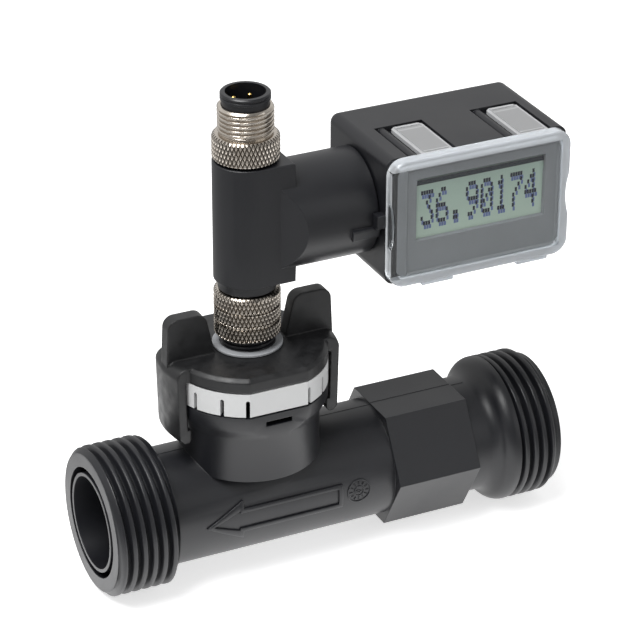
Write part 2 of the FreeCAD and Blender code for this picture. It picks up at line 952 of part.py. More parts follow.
def display_housing():
    """Moulded housing with neck hole, stop lug, tab channels with rails and board posts."""
    x0, x1, y0, y1, z0, z1 = box_bounds()
    post_front = panel_back_y() + screen_stack() + board_thickness + seat_gap
    posts = []
    for px in (x0 + post_inset_x, x1 - post_inset_x):
        for pz in (z0 + post_inset_z, z1 - post_inset_z):
            posts.append(cylinder_y(post_r, post_front, y1 - box_wall + 0.5, px, pz))
    body = fuse([housing_shell(), housing_lug()] + posts)
    body = body.cut(cylinder_x(spigot_r + turn_gap, x0 - lug_length - 1, x0 + box_wall + 1, 0, neck_z))
    for left, right in tab_spans():
        channel_left = left - tab_side_gap - rail_width - rail_gap
        body = body.cut(block(
            channel_left, right + tab_side_gap,
            y0 - 1, tab_rear_y + tab_side_gap, z1 - recess_depth, z1 + 1))
        rail_x = channel_left + rail_gap + rail_width / 2
        rail = cylinder_y(rail_width / 2, y0, tab_rear_y + tab_side_gap, rail_x, z1 - recess_depth)
        rail = rail.common(block(x0, x1, y0, y1, z1 - recess_depth - 0.3, z1))
        body = fuse([body, rail])
    return body


def panel_back_y():
    """Rear face of the front panel's plate, flush on the housing's front edge."""
    return box_front_y - 0.02


def screen_stack():
    """Depth from the panel's back to the board: screen and contact strips."""
    return seat_gap + screen_thickness + strip_height


def window_bounds():
    middle_x = box_left_x + box_length / 2.0 + window_offset_x
    middle_z = neck_z + window_offset_z
    half_x = window_length / 2.0
    half_z = window_height / 2.0
    return middle_x - half_x, middle_x + half_x, middle_z - half_z, middle_z + half_z


def tapered_opening(bounds, slope, front, back):
    """Rectangular opening in the XZ plane that widens by the slope towards the front."""
    left, right, low, high = bounds
    loops = []
    for y, extra in ((front, slope), (back, 0.0)):
        corners = [
            V(left - extra, y, low - extra),
            V(right + extra, y, low - extra),
            V(right + extra, y, high + extra),
            V(left - extra, y, high + extra),
        ]
        loops.append(Part.makePolygon(corners + corners[:1]))
    return Part.makeLoft(loops, True, True)


def bezel_panel():
    """Front panel: plate with a sunk field, screen window and a rim inside the housing."""
    x0, x1, y0, y1, z0, z1 = box_bounds()
    edge = cover_skirt + panel_edge_gap
    back = panel_back_y()
    front = back - panel_thickness
    left, right, low, high = x0 + edge, x1 - edge, z0 + edge, z1 - edge
    plate = block(left, right, front, back, low, high)
    plate = rounded(plate, panel_round, lambda e: along(e, 1))
    wall = box_wall + panel_rim_gap
    rim = block(x0 + wall, x1 - wall, back, back + panel_rim_height, z0 + wall, z1 - wall)
    rim = rounded(rim, box_inner_round, lambda e: along(e, 1))
    inner = wall + panel_rim_wall
    rim = rim.cut(block(
        x0 + inner, x1 - inner, back - 1, back + panel_rim_height + 1, z0 + inner, z1 - inner))
    floor = front + panel_recess
    field = (left + field_left, right - field_right, low + field_low, high - field_high)
    body = fuse([plate, rim])
    body = body.cut(tapered_opening(field, field_slope, front, floor))
    return body.cut(tapered_opening(window_bounds(), window_slope, floor, back))


def lcd_module():
    wx0, wx1, wz0, wz1 = window_bounds()
    back = panel_back_y() + seat_gap
    return block(
        wx0 - screen_margin, wx1 + screen_margin, back, back + screen_thickness,
        wz0 - screen_margin, wz1 + screen_margin)


def contact_strips():
    """Two rubber contact strips that press the screen's edges to the board."""
    wx0, wx1, wz0, wz1 = window_bounds()
    front = panel_back_y() + seat_gap + screen_thickness
    strips = []
    for z in (wz0 - screen_margin, wz1 + screen_margin - strip_width):
        strips.append(block(wx0, wx1, front, front + strip_height, z, z + strip_width))
    return Part.makeCompound(strips)


def display_board():
    x0, x1, y0, y1, z0, z1 = box_bounds()
    front = panel_back_y() + screen_stack()
    wall = box_wall + 0.9
    clip_end = box_left_x + box_wall + clip_gap + clip_width
    left = max(clip_end + 0.6, box_left_x - face_gap + spigot_length + 0.2)
    body = block(left, x1 - wall, front, front + board_thickness, z0 + wall, z1 - wall)
    return rounded(body, 1.0, lambda e: along(e, 1))


def cover_bounds():
    """Outer limits of the clear cover, level with the housing's sides."""
    x0, x1, _, _, z0, z1 = box_bounds()
    rear = box_front_y - seat_gap
    front = panel_back_y() - panel_thickness - cover_air_gap - cover_plate
    return x0, x1, front, rear, z0, z1


def cover_notches(x0, x1, front, rear, z0, z1):
    """Shallow finger scallops in both short sides."""
    middle = (z0 + z1) / 2.0 - notch_drop
    cuts = []
    for x in (x0 + notch_depth - notch_r, x1 - notch_depth + notch_r):
        cuts.append(cylinder_y(notch_r, front - 1, front + cover_plate + 0.8, x, middle))
    return cuts


def clear_cover():
    """Clear snap-on cover: plate with skirt, finger scallops and four rear tabs."""
    x0, x1, front, rear, z0, z1 = cover_bounds()
    body = block(x0, x1, front, rear, z0, z1)
    body = rounded(body, cover_round, lambda e: along(e, 1))
    body = rounded(body, 0.6, lambda e: e.BoundBox.YMax < front + 0.01)
    room = block(
        x0 + cover_skirt, x1 - cover_skirt, front + cover_plate, rear + 1,
        z0 + cover_skirt, z1 - cover_skirt)
    room = rounded(room, cover_round - cover_skirt, lambda e: along(e, 1))
    body = body.cut(room)
    for cut in cover_notches(x0, x1, front, rear, z0, z1):
        body = body.cut(cut)
    root = rear - tab_root
    pieces = [body]
    for left, right in tab_spans():
        pieces += [upper_tab(left, right, root, z1), lower_tab(left, right, root, rear, z0)]
    return fuse(pieces)


def tab_plate(left, right, root, low):
    """Flat tongue that reaches back from the cover, with its rear corners cut off."""
    tip = tab_rear_y
    return prism([
        (left, root, low),
        (right, root, low),
        (right, tip - tab_corner, low),
        (right - tab_corner, tip, low),
        (left + tab_corner, tip, low),
        (left, tip - tab_corner, low),
    ], (0, 0, tab_thickness))


def upper_tab(left, right, root, housing_top):
    """Tongue with a raised pad and a cross ridge at its rear end, level with the housing."""
    top = housing_top - pad_rise
    pad = block(
        left + pad_margin, right - pad_margin,
        box_front_y + pad_margin, tab_rear_y - pad_rear, top - pad_rise, top + pad_rise)
    ridge_end = tab_rear_y - ridge_start
    ridge = block(
        left + pad_margin, right - pad_margin,
        ridge_end - ridge_length, ridge_end, top - pad_rise, top + pad_rise)
    return fuse([tab_plate(left, right, root, top - tab_thickness), pad, ridge])


def lower_tab(left, right, root, rear, housing_bottom):
    """Tongue under the housing, joined to the cover by a short upright web."""
    low = housing_bottom - lower_tab_drop - tab_thickness
    web = block(left, right, root, rear, low, housing_bottom + 0.6)
    return tab_plate(left, right, root, low).fuse(web)


nodes = {
    "measuring_tube": measuring_tube,
    "sensor_insert": sensor_insert,
    "piezo_element": lambda: piezo_space(0.0),
    "insert_oring": insert_oring,
    "sensor_board": sensor_board,
    "sensor_head": sensor_head,
    "slotted_ring": slotted_ring,
    "locking_cap": locking_cap,
    "seal_washer": seal_washer,
    "sensor_plug_shell": sensor_plug_shell,
    "sensor_plug_insert": sensor_plug_insert,
    "sensor_plug_pins": sensor_plug_pins,
    "coupling_nut": coupling_nut,
    "socket_seal": socket_seal,
    "socket_carrier": socket_carrier,
    "socket_contacts": socket_contacts,
    "tee_body": tee_body,
    "neck_seal": neck_seal,
    "neck_clip": neck_clip,
    "plug_screw": plug_screw,
    "plug_insert": plug_insert,
    "plug_pins": plug_pins,
    "display_housing": display_housing,
    "display_board": display_board,
    "contact_strips": contact_strips,
    "lcd_module": lcd_module,
    "bezel_panel": bezel_panel,
    "clear_cover": clear_cover,
}

os.makedirs("parts", exist_ok=True)
for name, make in nodes.items():
    shape = make()
    shape.exportStep(f"parts/{name}.step")
    print(name, len(shape.Solids), round(shape.Volume, 1), shape.isValid())
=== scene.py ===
import math

import bmesh
import bpy
from mathutils import Matrix, Vector


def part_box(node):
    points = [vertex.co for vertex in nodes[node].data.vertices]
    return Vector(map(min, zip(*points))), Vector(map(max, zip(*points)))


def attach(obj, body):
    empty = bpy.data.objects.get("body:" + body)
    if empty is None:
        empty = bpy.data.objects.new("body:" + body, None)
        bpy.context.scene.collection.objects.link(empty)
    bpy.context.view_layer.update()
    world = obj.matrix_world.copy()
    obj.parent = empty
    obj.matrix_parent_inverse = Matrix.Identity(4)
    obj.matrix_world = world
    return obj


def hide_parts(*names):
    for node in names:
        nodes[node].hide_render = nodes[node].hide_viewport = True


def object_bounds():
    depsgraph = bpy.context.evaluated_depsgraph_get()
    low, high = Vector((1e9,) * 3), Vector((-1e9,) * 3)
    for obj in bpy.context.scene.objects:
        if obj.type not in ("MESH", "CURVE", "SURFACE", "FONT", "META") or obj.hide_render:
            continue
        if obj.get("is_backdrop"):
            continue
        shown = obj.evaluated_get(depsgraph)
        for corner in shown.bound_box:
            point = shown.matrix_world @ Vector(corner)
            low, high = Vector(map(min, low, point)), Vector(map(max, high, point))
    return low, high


bl_info = {
    "name": "Vortex flow meter finish",
    "version": (1, 0, 0),
    "blender": (4, 5, 0),
    "location": "View3D > Sidebar > Flow meter",
    "description": "Builds the threads, knurls, markings, screen, cover and finishes of a flow meter",
    "category": "Object",
}

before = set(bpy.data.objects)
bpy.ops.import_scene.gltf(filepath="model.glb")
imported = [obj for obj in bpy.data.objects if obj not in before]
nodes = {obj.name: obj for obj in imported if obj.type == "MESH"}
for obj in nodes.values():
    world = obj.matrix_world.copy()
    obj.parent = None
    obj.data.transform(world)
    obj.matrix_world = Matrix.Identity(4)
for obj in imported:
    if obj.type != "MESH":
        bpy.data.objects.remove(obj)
cad_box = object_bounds()

MM = 0.001
ROOT, NUT, PLUG, DISPLAY, COVER = "meter", "nut", "plug", "display", "cover"

# Lengths from here to the screen's signs are in millimetres

# Measuring tube and its pipe threads
TUBE_R = 13.1
HEXAGON_TOP = 13.5
BOSS_BOTTOM_Z = 9.8
BOSS_ROOT_R = 12.5
PIPE_PITCH = 2.309
PIPE_CREST_R = 16.62
PIPE_ROOT_R = 15.14
OUTLET_THREAD = 14.3
INLET_THREAD = 10.8

# Flow arrow and mould dial; their angles are degrees upwards from the tube's front line
ARROW_TIP_X, ARROW_HEAD_X, ARROW_TAIL_X = -15.9, -7.1, 16.6
ARROW_HEAD_ANGLE, ARROW_SHAFT_ANGLE = 20.3, 12.2
DIAL_X, DIAL_ANGLE = 20.6, 0.6
DIAL_TICKS = 12

# Washer, tee and round plugs
WASHER_R, WASHER_BORE_R, WASHER_HEIGHT = 7.64, 6.05, 0.6
TEE_FLOOR_Z, TEE_COLLAR_R = 51.8, 6.32
FINE_PITCH = 1.0
FINE_CREST_R = 6.0
FINE_ROOT_R = 5.42
KNURL_R = 7.2
KNURL_ROW = 0.175
KNURL_STEPS = 12
NUT_GROOVES = (3.55, 7.1)
PLUG_RING = 5.6
SLEEVE_SHORT = 1.1

# Display: window, strip of painted shadow along the screen's top, dots with their painted shadow, and cover
WINDOW_X, WINDOW_Z, WINDOW_FLARE = (32.7, 63.1), (70.0, 73.5), 0.3
# Painted shadow: a flat dark strip on the screen's top edge stands for the shade under the window's top edge
TOP_SHADOW_X, TOP_SHADOW_Z = (32.0, 63.8), (71.9, 73.1)
SCREEN_FALL_Z = (59.0, 73.5)
DOTS_LEFT, DOTS_TOP = 33.85, 70.7
DOT_GAP_X, DOT_GAP_Z = 0.075, 0.25
DOT_THICK = 0.003
# Shift in X and Z of the dots' painted shadow, a bluish copy that stands for their shadow on the screen
DOT_SHADOW_SHIFT = (0.25, -0.95)
TAB_MIDDLE, TAB_SPACING = 49.3, 23.0
TAB_START = 0.02
RIM_WIDTH = 2.1

DIGITS = {
    "0": ("01110", "10001", "10011", "10101", "11001", "10001", "01110"),
    "1": ("00100", "01100", "00100", "00100", "00100", "00100", "01110"),
    "3": ("11111", "00010", "00100", "00010", "00001", "10001", "01110"),
    "4": ("00010", "00110", "01010", "10010", "11111", "00010", "00010"),
    "6": ("00110", "01000", "10000", "11110", "10001", "10001", "01110"),
    "7": ("11111", "00001", "00010", "00100", "01000", "01000", "01000"),
    "9": ("01110", "10001", "10001", "01111", "00001", "00010", "01100"),
    ".": ("00000", "00000", "00000", "00000", "00000", "01100", "01100"),
}
READING = "36.90174"
SIGN_PITCH = 6

# Edges sharper than these stay sharp in smooth shading
SHARP = math.radians(32)
SHARP_ON_TUBE = math.radians(40)
SHARP_KNURL = math.radians(50)
SHARP_THREAD = math.radians(60)

# Studio: strengths that the camera and reflections see, where 1 is white, and distances in metres between
# which the floor's reflection dims; then the strength of the world's own light and the lamps' power
FLOOR_GLOW, FLOOR_FAR_SHARE, FLOOR_FAR_MIRRORED = 0.62, 0.08, 0.5
FLOOR_NEAR, FLOOR_FAR = 0.07, 0.13
WORLD_FRONT_MIRRORED = 0.28
WORLD_LIGHT = 0.5
KEY_WATTS, FILL_WATTS = 8.0, 0.9


def length_prop(name, description, default):
    return bpy.props.FloatProperty(
        name=name, description=description, default=default, min=0.0, max=1.0, subtype="DISTANCE",
        unit="LENGTH", precision=5)


def colour_prop(name, what, default):
    return bpy.props.FloatVectorProperty(
        name=name, description="Colour of the " + what, default=default, size=4, min=0.0, max=1.0,
        subtype="COLOR")


class FLOWMETER_PG_sizes(bpy.types.PropertyGroup):
    """Sizes of the details that a user would change"""

    arrow_width: length_prop("Arrow line width", "Width of the raised line of the flow arrow", 0.00095)
    arrow_height: length_prop("Arrow height", "How far the flow arrow stands out of the tube", 0.0005)
    dial_radius: length_prop("Mould dial radius", "Radius of the mould's date dial", 0.00285)
    knurl_depth: length_prop("Knurl depth", "Depth of the diamond knurl", 0.00028)
    knurl_rise: length_prop("Knurl rise", "Height of one diamond of the knurl", 0.0021)
    dot_width: length_prop("Dot width", "Width of one dot of the screen", 0.00052)
    dot_height: length_prop("Dot height", "Height of one dot of the screen", 0.00094)
    edge_radius: length_prop("Edge radius", "Radius that softens moulded edges in shading", 0.00022)
    knurl_count: bpy.props.IntProperty(
        name="Knurl count", description="Diamonds round the knurled pieces", default=48, min=12, max=120)


class FLOWMETER_PG_colours(bpy.types.PropertyGroup):
    """Colours of the finishes"""

    black: colour_prop("Black moulding", "black mouldings", (0.0066, 0.007, 0.009, 1))
    cap_black: colour_prop("Cap black", "locking cap", (0.0068, 0.007, 0.0076, 1))
    ring_white: colour_prop("Slotted ring", "light ring", (0.585, 0.59, 0.59, 1))
    washer_grey: colour_prop("Washer", "grey washer", (0.3, 0.31, 0.325, 1))
    nickel: colour_prop("Nickel", "plated metal", (0.62, 0.57, 0.51, 1))
    gold: colour_prop("Contacts", "gilt contacts", (0.83, 0.58, 0.2, 1))
    panel: colour_prop("Panel", "grey front panel", (0.188, 0.195, 0.204, 1))
    screen: colour_prop("Screen", "lit screen", (0.44, 0.545, 0.45, 1))
    dots: colour_prop("Dots", "dark dots", (0.0015, 0.0015, 0.014, 1))
    clear: colour_prop("Clear plastic", "clear cover", (0.97, 0.985, 0.99, 1))
    rim: colour_prop("Cover rim", "cover's milky rim", (0.82, 0.85, 0.88, 1))
    frosted: colour_prop("Frosted tabs", "cover's tabs", (0.5, 0.505, 0.512, 1))
    board: colour_prop("Board", "circuit boards", (0.01, 0.11, 0.045, 1))


def sizes():
    return bpy.context.scene.flow_meter_sizes


def colours():
    return bpy.context.scene.flow_meter_colours


# Node trees

COLOUR, NUMBER = "NodeSocketColor", "NodeSocketFloat"


class Tree:
    """A node tree with short calls, each of which adds nodes with their settings, values and links."""

    def __init__(self, tree):
        self.nodes = tree.nodes
        self.links = tree.links

    def plug(self, value, socket):
        """Links an output to the socket, or gives the socket a value."""
        if isinstance(value, bpy.types.NodeSocket):
            self.links.new(value, socket)
        else:
            socket.default_value = value

    def feed(self, node, **inputs):
        """Feeds named inputs, with _ for each space in a name."""
        for name, value in inputs.items():
            self.plug(value, node.inputs[name.replace("_", " ")])

    def add(self, kind, settings=None, *values, **inputs):
        """Adds a node. The values go to its first inputs in order, the rest to inputs by name."""
        node = self.nodes.new(kind)
        for name, value in (settings or {}).items():
            setattr(node, name, value)
        for socket, value in zip(node.inputs, values):
            self.plug(value, socket)
        self.feed(node, **inputs)
        return node

    def effect(self, name, make, **inputs):
        """The outputs of a shared node group, which is made at its first use."""
        tree = bpy.data.node_groups.get(name) or make(name)
        return self.add("ShaderNodeGroup", {"node_tree": tree}, **inputs).outputs

    def place(self):
        return self.add("ShaderNodeTexCoord").outputs["Object"]

    def axes(self, vector):
        return self.add("ShaderNodeSeparateXYZ", Vector=vector).outputs

    def noise(self, vector, scale, detail):
        return self.add("ShaderNodeTexNoise", Vector=vector, Scale=scale, Detail=detail).outputs[0]

    def math(self, operation, *values):
        return self.add("ShaderNodeMath", {"operation": operation}, *values).outputs[0]

    def span(self, value, low, high, to_low=0.0, to_high=1.0):
        """The value taken from the range low to high over to another range."""
        return self.add("ShaderNodeMapRange", None, value, low, high, to_low, to_high).outputs[0]

    def ramp(self, source, stops):
        """Greys at places from 0 to 1 along the source."""
        node = self.add("ShaderNodeValToRGB", None, source)
        elements = node.color_ramp.elements
        while len(elements) < len(stops):
            elements.new(0.5)
        for element, (place, value) in zip(elements, stops):
            element.position = place
            element.color = (value, value, value, 1)
        return node.outputs[0]

    def blend(self, factor, first, second, mode="MIX"):
        """Mix of two colours, whose sockets are numbers 6 and 7 of the node."""
        node = self.add("ShaderNodeMix", {"data_type": "RGBA", "blend_type": mode}, factor)
        self.plug(first, node.inputs[6])
        self.plug(second, node.inputs[7])
        return node.outputs[2]

    def bump(self, shader, height, strength, distance, **under):
        """Bump on the shader's normal; a Normal given with it lies under the bump."""
        node = self.add("ShaderNodeBump", Strength=strength, Distance=distance, Height=height, **under)
        self.feed(shader, Normal=node.outputs[0])

    def choose(self, out, factor, first, second):
        """Sends the first shader to the output, and the second as far as the factor says."""
        mix = self.add("ShaderNodeMixShader", None, factor, first.outputs[0], second.outputs[0])
        self.feed(out, Surface=mix.outputs[0])


def group(name, inputs, outputs):
    """An empty node group with named sockets; returns it with its tree helper and both ends."""
    tree = bpy.data.node_groups.new(name, "ShaderNodeTree")
    for label, kind, default in inputs:
        tree.interface.new_socket(label, in_out="INPUT", socket_type=kind).default_value = default
    for label, kind in outputs:
        tree.interface.new_socket(label, in_out="OUTPUT", socket_type=kind)
    t = Tree(tree)
    return tree, t, t.add("NodeGroupInput").outputs, t.add("NodeGroupOutput")


def moulded_grain_group(name):
    """Colour, roughness, height and dust specks of a moulded surface with grain and flow clouding."""
    tree, t, start, end = group(
        name,
        [("Base", COLOUR, (0.01, 0.01, 0.01, 1)), ("Lift", NUMBER, 0.35),
         ("Grain Scale", NUMBER, 2600.0), ("Cloud Scale", NUMBER, 90.0),
         ("Rough Low", NUMBER, 0.34), ("Rough High", NUMBER, 0.46)],
        [("Color", COLOUR), ("Roughness", NUMBER), ("Height", NUMBER),
         ("Specks", NUMBER)])
    place = t.place()
    cloud = t.noise(place, start["Cloud Scale"], 4.0)
    amount = t.math("MULTIPLY", t.ramp(cloud, [(0.3, 0.0), (0.7, 1.0)]), start["Lift"])
    light = t.blend(1.0, start["Base"], (1.9, 1.9, 1.9, 1), "MULTIPLY")
    t.feed(end, Color=t.blend(amount, start["Base"], light),
           Roughness=t.span(cloud, 0.3, 0.7, start["Rough Low"], start["Rough High"]),
           Height=t.noise(place, start["Grain Scale"], 3.0),
           Specks=t.ramp(t.noise(place, 9000.0, 1.0), [(0.0, 0.0), (0.73, 0.0), (0.78, 1.0)]))
    return tree


def plated_metal_group(name):
    """Colour, roughness and height of plated metal with faint turning lines round the Z axis."""
    tree, t, start, end = group(
        name,
        [("Base", COLOUR, (0.6, 0.6, 0.6, 1)), ("Line Scale", NUMBER, 5200.0),
         ("Rough Low", NUMBER, 0.16), ("Rough High", NUMBER, 0.3)],
        [("Color", COLOUR), ("Roughness", NUMBER), ("Height", NUMBER)])
    place = t.place()
    squashed = t.add("ShaderNodeVectorMath", {"operation": "MULTIPLY"}, place, (0.05, 0.05, 1.0)).outputs[0]
    stain = t.noise(place, 420.0, 4.0)
    darker = t.blend(1.0, start["Base"], (0.72, 0.7, 0.67, 1), "MULTIPLY")
    t.feed(end, Color=t.blend(t.ramp(stain, [(0.35, 0.0), (0.75, 0.8)]), start["Base"], darker),
           Roughness=t.span(stain, 0.3, 0.7, start["Rough Low"], start["Rough High"]),
           Height=t.noise(squashed, start["Line Scale"], 2.0))
    return tree


# Materials

def start_material(title, **constants):
    """A material with its tree helper, its Principled shader with the given constants, and its output."""
    mat = bpy.data.materials.new(title)
    mat.use_nodes = True
    mat.node_tree.nodes.clear()
    t = Tree(mat.node_tree)
    out = t.add("ShaderNodeOutputMaterial")
    shader = t.add("ShaderNodeBsdfPrincipled", **constants)
    t.feed(out, Surface=shader.outputs[0])
    return mat, t, shader, out


def soft_edge(t, shader, height, strength, distance, radius):
    """Bump over a normal that is rounded at the piece's edges."""
    edge = t.add("ShaderNodeBevel", {"samples": 6}, Radius=radius)
    t.bump(shader, height, strength, distance, Normal=edge.outputs[0])


def grain(t, base, lift, grain_scale, cloud_scale, rough):
    return t.effect("Moulded grain", moulded_grain_group, Base=base, Lift=lift, Grain_Scale=grain_scale,
                    Cloud_Scale=cloud_scale, Rough_Low=rough[0], Rough_High=rough[1])


def plastic(title, base, lift, grain_scale, cloud_scale, rough, strength, distance, radius, specks):
    """Opaque moulding, rubber, board or ceramic; radius None means the common edge radius."""
    mat, t, shader, _ = start_material(title)
    skin = grain(t, base, lift, grain_scale, cloud_scale, rough)
    colour = skin["Color"]
    if specks:
        colour = t.blend(t.math("MULTIPLY", skin["Specks"], specks), colour, (0.16, 0.16, 0.16, 1))
    t.feed(shader, Base_Color=colour, Roughness=skin["Roughness"])
    soft_edge(t, shader, skin["Height"], strength, distance, radius or sizes().edge_radius)
    return mat


def plated(title, base, rough=(0.16, 0.3), strength=0.12):
    mat, t, shader, _ = start_material(title, Metallic=1.0)
    skin = t.effect("Plated metal", plated_metal_group, Base=base, Rough_Low=rough[0], Rough_High=rough[1])
    t.feed(shader, Base_Color=skin["Color"], Roughness=skin["Roughness"])
    soft_edge(t, shader, skin["Height"], strength, 1e-5, 6e-5)
    return mat


def knurled_plate(title, base):
    """Plated metal with painted shade in the knurl grooves, which are darker than the points between them;
    the thread stays plain.
    """
    mat, t, shader, _ = start_material(title, Metallic=1.0)
    skin = t.effect("Plated metal", plated_metal_group, Base=base)
    x, y, z = t.axes(t.place())
    turns = t.math("MULTIPLY", t.math("ARCTAN2", y, x), sizes().knurl_count / (2 * math.pi))
    climb = t.math("DIVIDE", z, sizes().knurl_rise)
    first = t.math("PINGPONG", t.math("ADD", turns, climb), 0.5)
    second = t.math("PINGPONG", t.math("SUBTRACT", turns, climb), 0.5)
    reach = t.math("SQRT", t.math("ADD", t.math("POWER", x, 2.0), t.math("POWER", y, 2.0)))
    plain = t.math("LESS_THAN", reach, 6.5 * MM)
    point = t.ramp(t.math("MAXIMUM", t.math("MINIMUM", first, second), plain), [(0.07, 0.0), (0.19, 1.0)])
    # Painted shade: the grooves' colour is darkened to stand for the shade that falls in them
    dark = t.blend(1.0, skin["Color"], (0.08, 0.07, 0.06, 1), "MULTIPLY")
    t.feed(shader, Base_Color=t.blend(point, dark, skin["Color"]), Roughness=skin["Roughness"])
    soft_edge(t, shader, skin["Height"], 0.1, 1e-5, 4e-5)
    return mat


def screen_glass(title):
    """Pale screen, darker towards its upper edge, with faint clouding and grain."""
    mat, t, shader, _ = start_material(title, Roughness=0.22, Coat_Weight=0.6, Coat_Roughness=0.04)
    place = t.place()
    low, high = (z * MM for z in SCREEN_FALL_Z)
    base = tuple(colours().screen)
    dark = (base[0] * 0.72, base[1] * 0.76, base[2] * 0.78, 1)
    mixed = t.blend(t.span(t.axes(place)[2], low, high), base, dark)
    mixed = t.blend(t.math("MULTIPLY", t.noise(place, 38.0, 1.0), 0.3), mixed, dark)
    t.feed(shader, Base_Color=mixed)
    t.bump(shader, t.noise(place, 5000.0, 1.0), 0.04, 1e-5)
    return mat


def ink(title, base, unevenness=0.12):
    """Printed or liquid-crystal dark with a little unevenness; it also colours the painted shadows on the
    screen.
    """
    mat, t, shader, _ = start_material(title, Roughness=0.35, Specular_IOR_Level=0.1)
    lighter = tuple(min(1.0, c * 3 + 0.01) for c in base[:3]) + (1,)
    amount = t.math("MULTIPLY", t.noise(t.place(), 900.0, 2.0), unevenness)
    t.feed(shader, Base_Color=t.blend(amount, tuple(base), lighter))
    return mat


def clear_plastic(title, tint, rough, weight, shade, specular=0.5):
    """Clear or milky plastic with faint flow haze."""
    mat, t, shader, out = start_material(
        title, Transmission_Weight=weight, IOR=1.46, Specular_IOR_Level=specular)
    place = t.place()
    haze = t.noise(place, 260.0, 4.0)
    duller = tuple(c * 0.94 for c in tint[:3]) + (1,)
    t.feed(shader, Roughness=t.ramp(haze, [(0.35, rough[0]), (0.8, rough[1])]),
           Base_Color=t.blend(haze, tuple(tint), duller))
    t.bump(shader, t.noise(place, 60.0, 1.0), 0.02, 2e-5)
    let_light_through(t, shader, out, shade)
    return mat


def let_light_through(t, shader, out, tint):
    """Lets lamps shine through clear plastic onto what lies under it."""
    shadow = t.add("ShaderNodeLightPath").outputs["Is Shadow Ray"]
    t.choose(out, shadow, shader, t.add("ShaderNodeBsdfTransparent", Color=tint))


def outside(t, value, middle, half):
    """1 where the value lies further than half from the middle, with a short blend."""
    away = t.math("ABSOLUTE", t.math("SUBTRACT", value, middle * MM))
    return t.span(away, (half - 0.05) * MM, (half + 0.05) * MM)


def frosted_plastic(title, base):
    """Milky half-clear plastic of the cover's tabs, with a lighter border round each pad."""
    mat, t, shader, out = start_material(title, Transmission_Weight=0.25, IOR=1.46)
    skin = grain(t, base, 0.04, 3800.0, 160.0, (0.28, 0.38))
    x, y, _ = t.axes(t.place())
    aside = t.math("ABSOLUTE", t.math("SUBTRACT", x, TAB_MIDDLE * MM))
    border = t.math("MAXIMUM", outside(t, aside, TAB_SPACING / 2, 2.95), outside(t, y, -6.6, 6.2))
    line = t.math("SUBTRACT", 1.0, outside(t, y, -1.5, 0.3))
    pale = t.math("MAXIMUM", border, t.math("MULTIPLY", line, 0.6))
    pad = t.blend(1.0, skin["Color"], (0.62, 0.62, 0.62, 1), "MULTIPLY")
    t.feed(shader, Base_Color=t.blend(pale, pad, skin["Color"]), Roughness=skin["Roughness"])
    soft_edge(t, shader, skin["Height"], 0.08, 1e-5, 2e-4)
    let_light_through(t, shader, out, (0.7, 0.71, 0.72, 1))
    return mat


# Title, colour, lift, grain scale, cloud scale, roughness range, bump strength, bump distance, edge radius
# and share of dust specks. A colour is the name of a setting or fixed.
PLASTICS = {
    "tube_black": ("Tube moulding", "black", 0.5, 3200.0, 60.0, (0.36, 0.46), 0.22, 2e-5, None, 0.25),
    "body_black": ("Housing moulding", "black", 0.3, 4200.0, 70.0, (0.36, 0.44), 0.18, 1.5e-5, None, 0.15),
    "cap_black": ("Cap moulding", "cap_black", 0.9, 1500.0, 420.0, (0.34, 0.55), 0.35, 4e-5, 6e-4, 0.2),
    "insert_black": ("Plug insert moulding", "black", 0.2, 5200.0, 200.0, (0.3, 0.4), 0.1, 1e-5, 6e-5, 0),
    "ring_white": ("Ring moulding", "ring_white", -0.12, 3600.0, 130.0, (0.38, 0.48), 0.12, 1e-5, 1e-4, 0),
    "washer_grey": ("Washer rubber", "washer_grey", -0.15, 2600.0, 200.0, (0.5, 0.62), 0.2, 1.5e-5, 1e-4, 0),
    "seal_black": ("Seal rubber", (0.012, 0.012, 0.012, 1), 0.2, 2600.0, 200.0, (0.45, 0.6), 0.2, 1.5e-5,
                   6e-5, 0),
    "panel_grey": ("Panel grey", "panel", 0.12, 3800.0, 90.0, (0.42, 0.52), 0.05, 1e-5, 1e-4, 0),
    "board_green": ("Circuit board", "board", 0.3, 1800.0, 300.0, (0.3, 0.4), 0.15, 1e-5, 6e-5, 0),
    "ceramic": ("Piezo ceramic", (0.55, 0.53, 0.46, 1), -0.2, 3000.0, 300.0, (0.3, 0.4), 0.1, 1e-5, 6e-5, 0),
}
OTHER_FINISHES = {
    "nickel": lambda: plated("Nickel plate", colours().nickel),
    "knurl": lambda: knurled_plate("Knurled nickel plate", colours().nickel),
    "spring_steel": lambda: plated("Spring steel", (0.5, 0.5, 0.5, 1), (0.2, 0.32)),
    "gold": lambda: plated("Gilt contact", colours().gold, (0.14, 0.24), 0.08),
    "screen": lambda: screen_glass("Screen face"),
    "dots": lambda: ink("Screen dots", colours().dots),
    # Painted shadow: colour of the dots' shadow on the screen
    "dot_painted_shadow": lambda: ink("Screen dot painted shadow", (0.075, 0.1, 0.22, 1), 0.3),
    # Painted shadow: flat dark of the strip along the screen's top edge
    "painted_top_shadow": lambda: ink("Screen painted top shadow", (0.012, 0.016, 0.022, 1), 0.2),
    "clear": lambda: clear_plastic("Clear cover plastic", colours().clear, (0.0, 0.01), 1.0,
                                   (0.93, 0.95, 0.95, 1), 0.15),
    "milky": lambda: clear_plastic("Milky rim plastic", colours().rim, (0.08, 0.18), 0.66,
                                   (0.8, 0.82, 0.84, 1)),
    "frosted": lambda: frosted_plastic("Frosted tab plastic", colours().frosted),
}
made = {}


def finish_of(name):
    """The material of a finish, made at its first use."""
    if name not in made and name in PLASTICS:
        title, base, *looks = PLASTICS[name]
        made[name] = plastic(title, getattr(colours(), base) if isinstance(base, str) else base, *looks)
    elif name not in made:
        made[name] = OTHER_FINISHES[name]()
    return made[name]


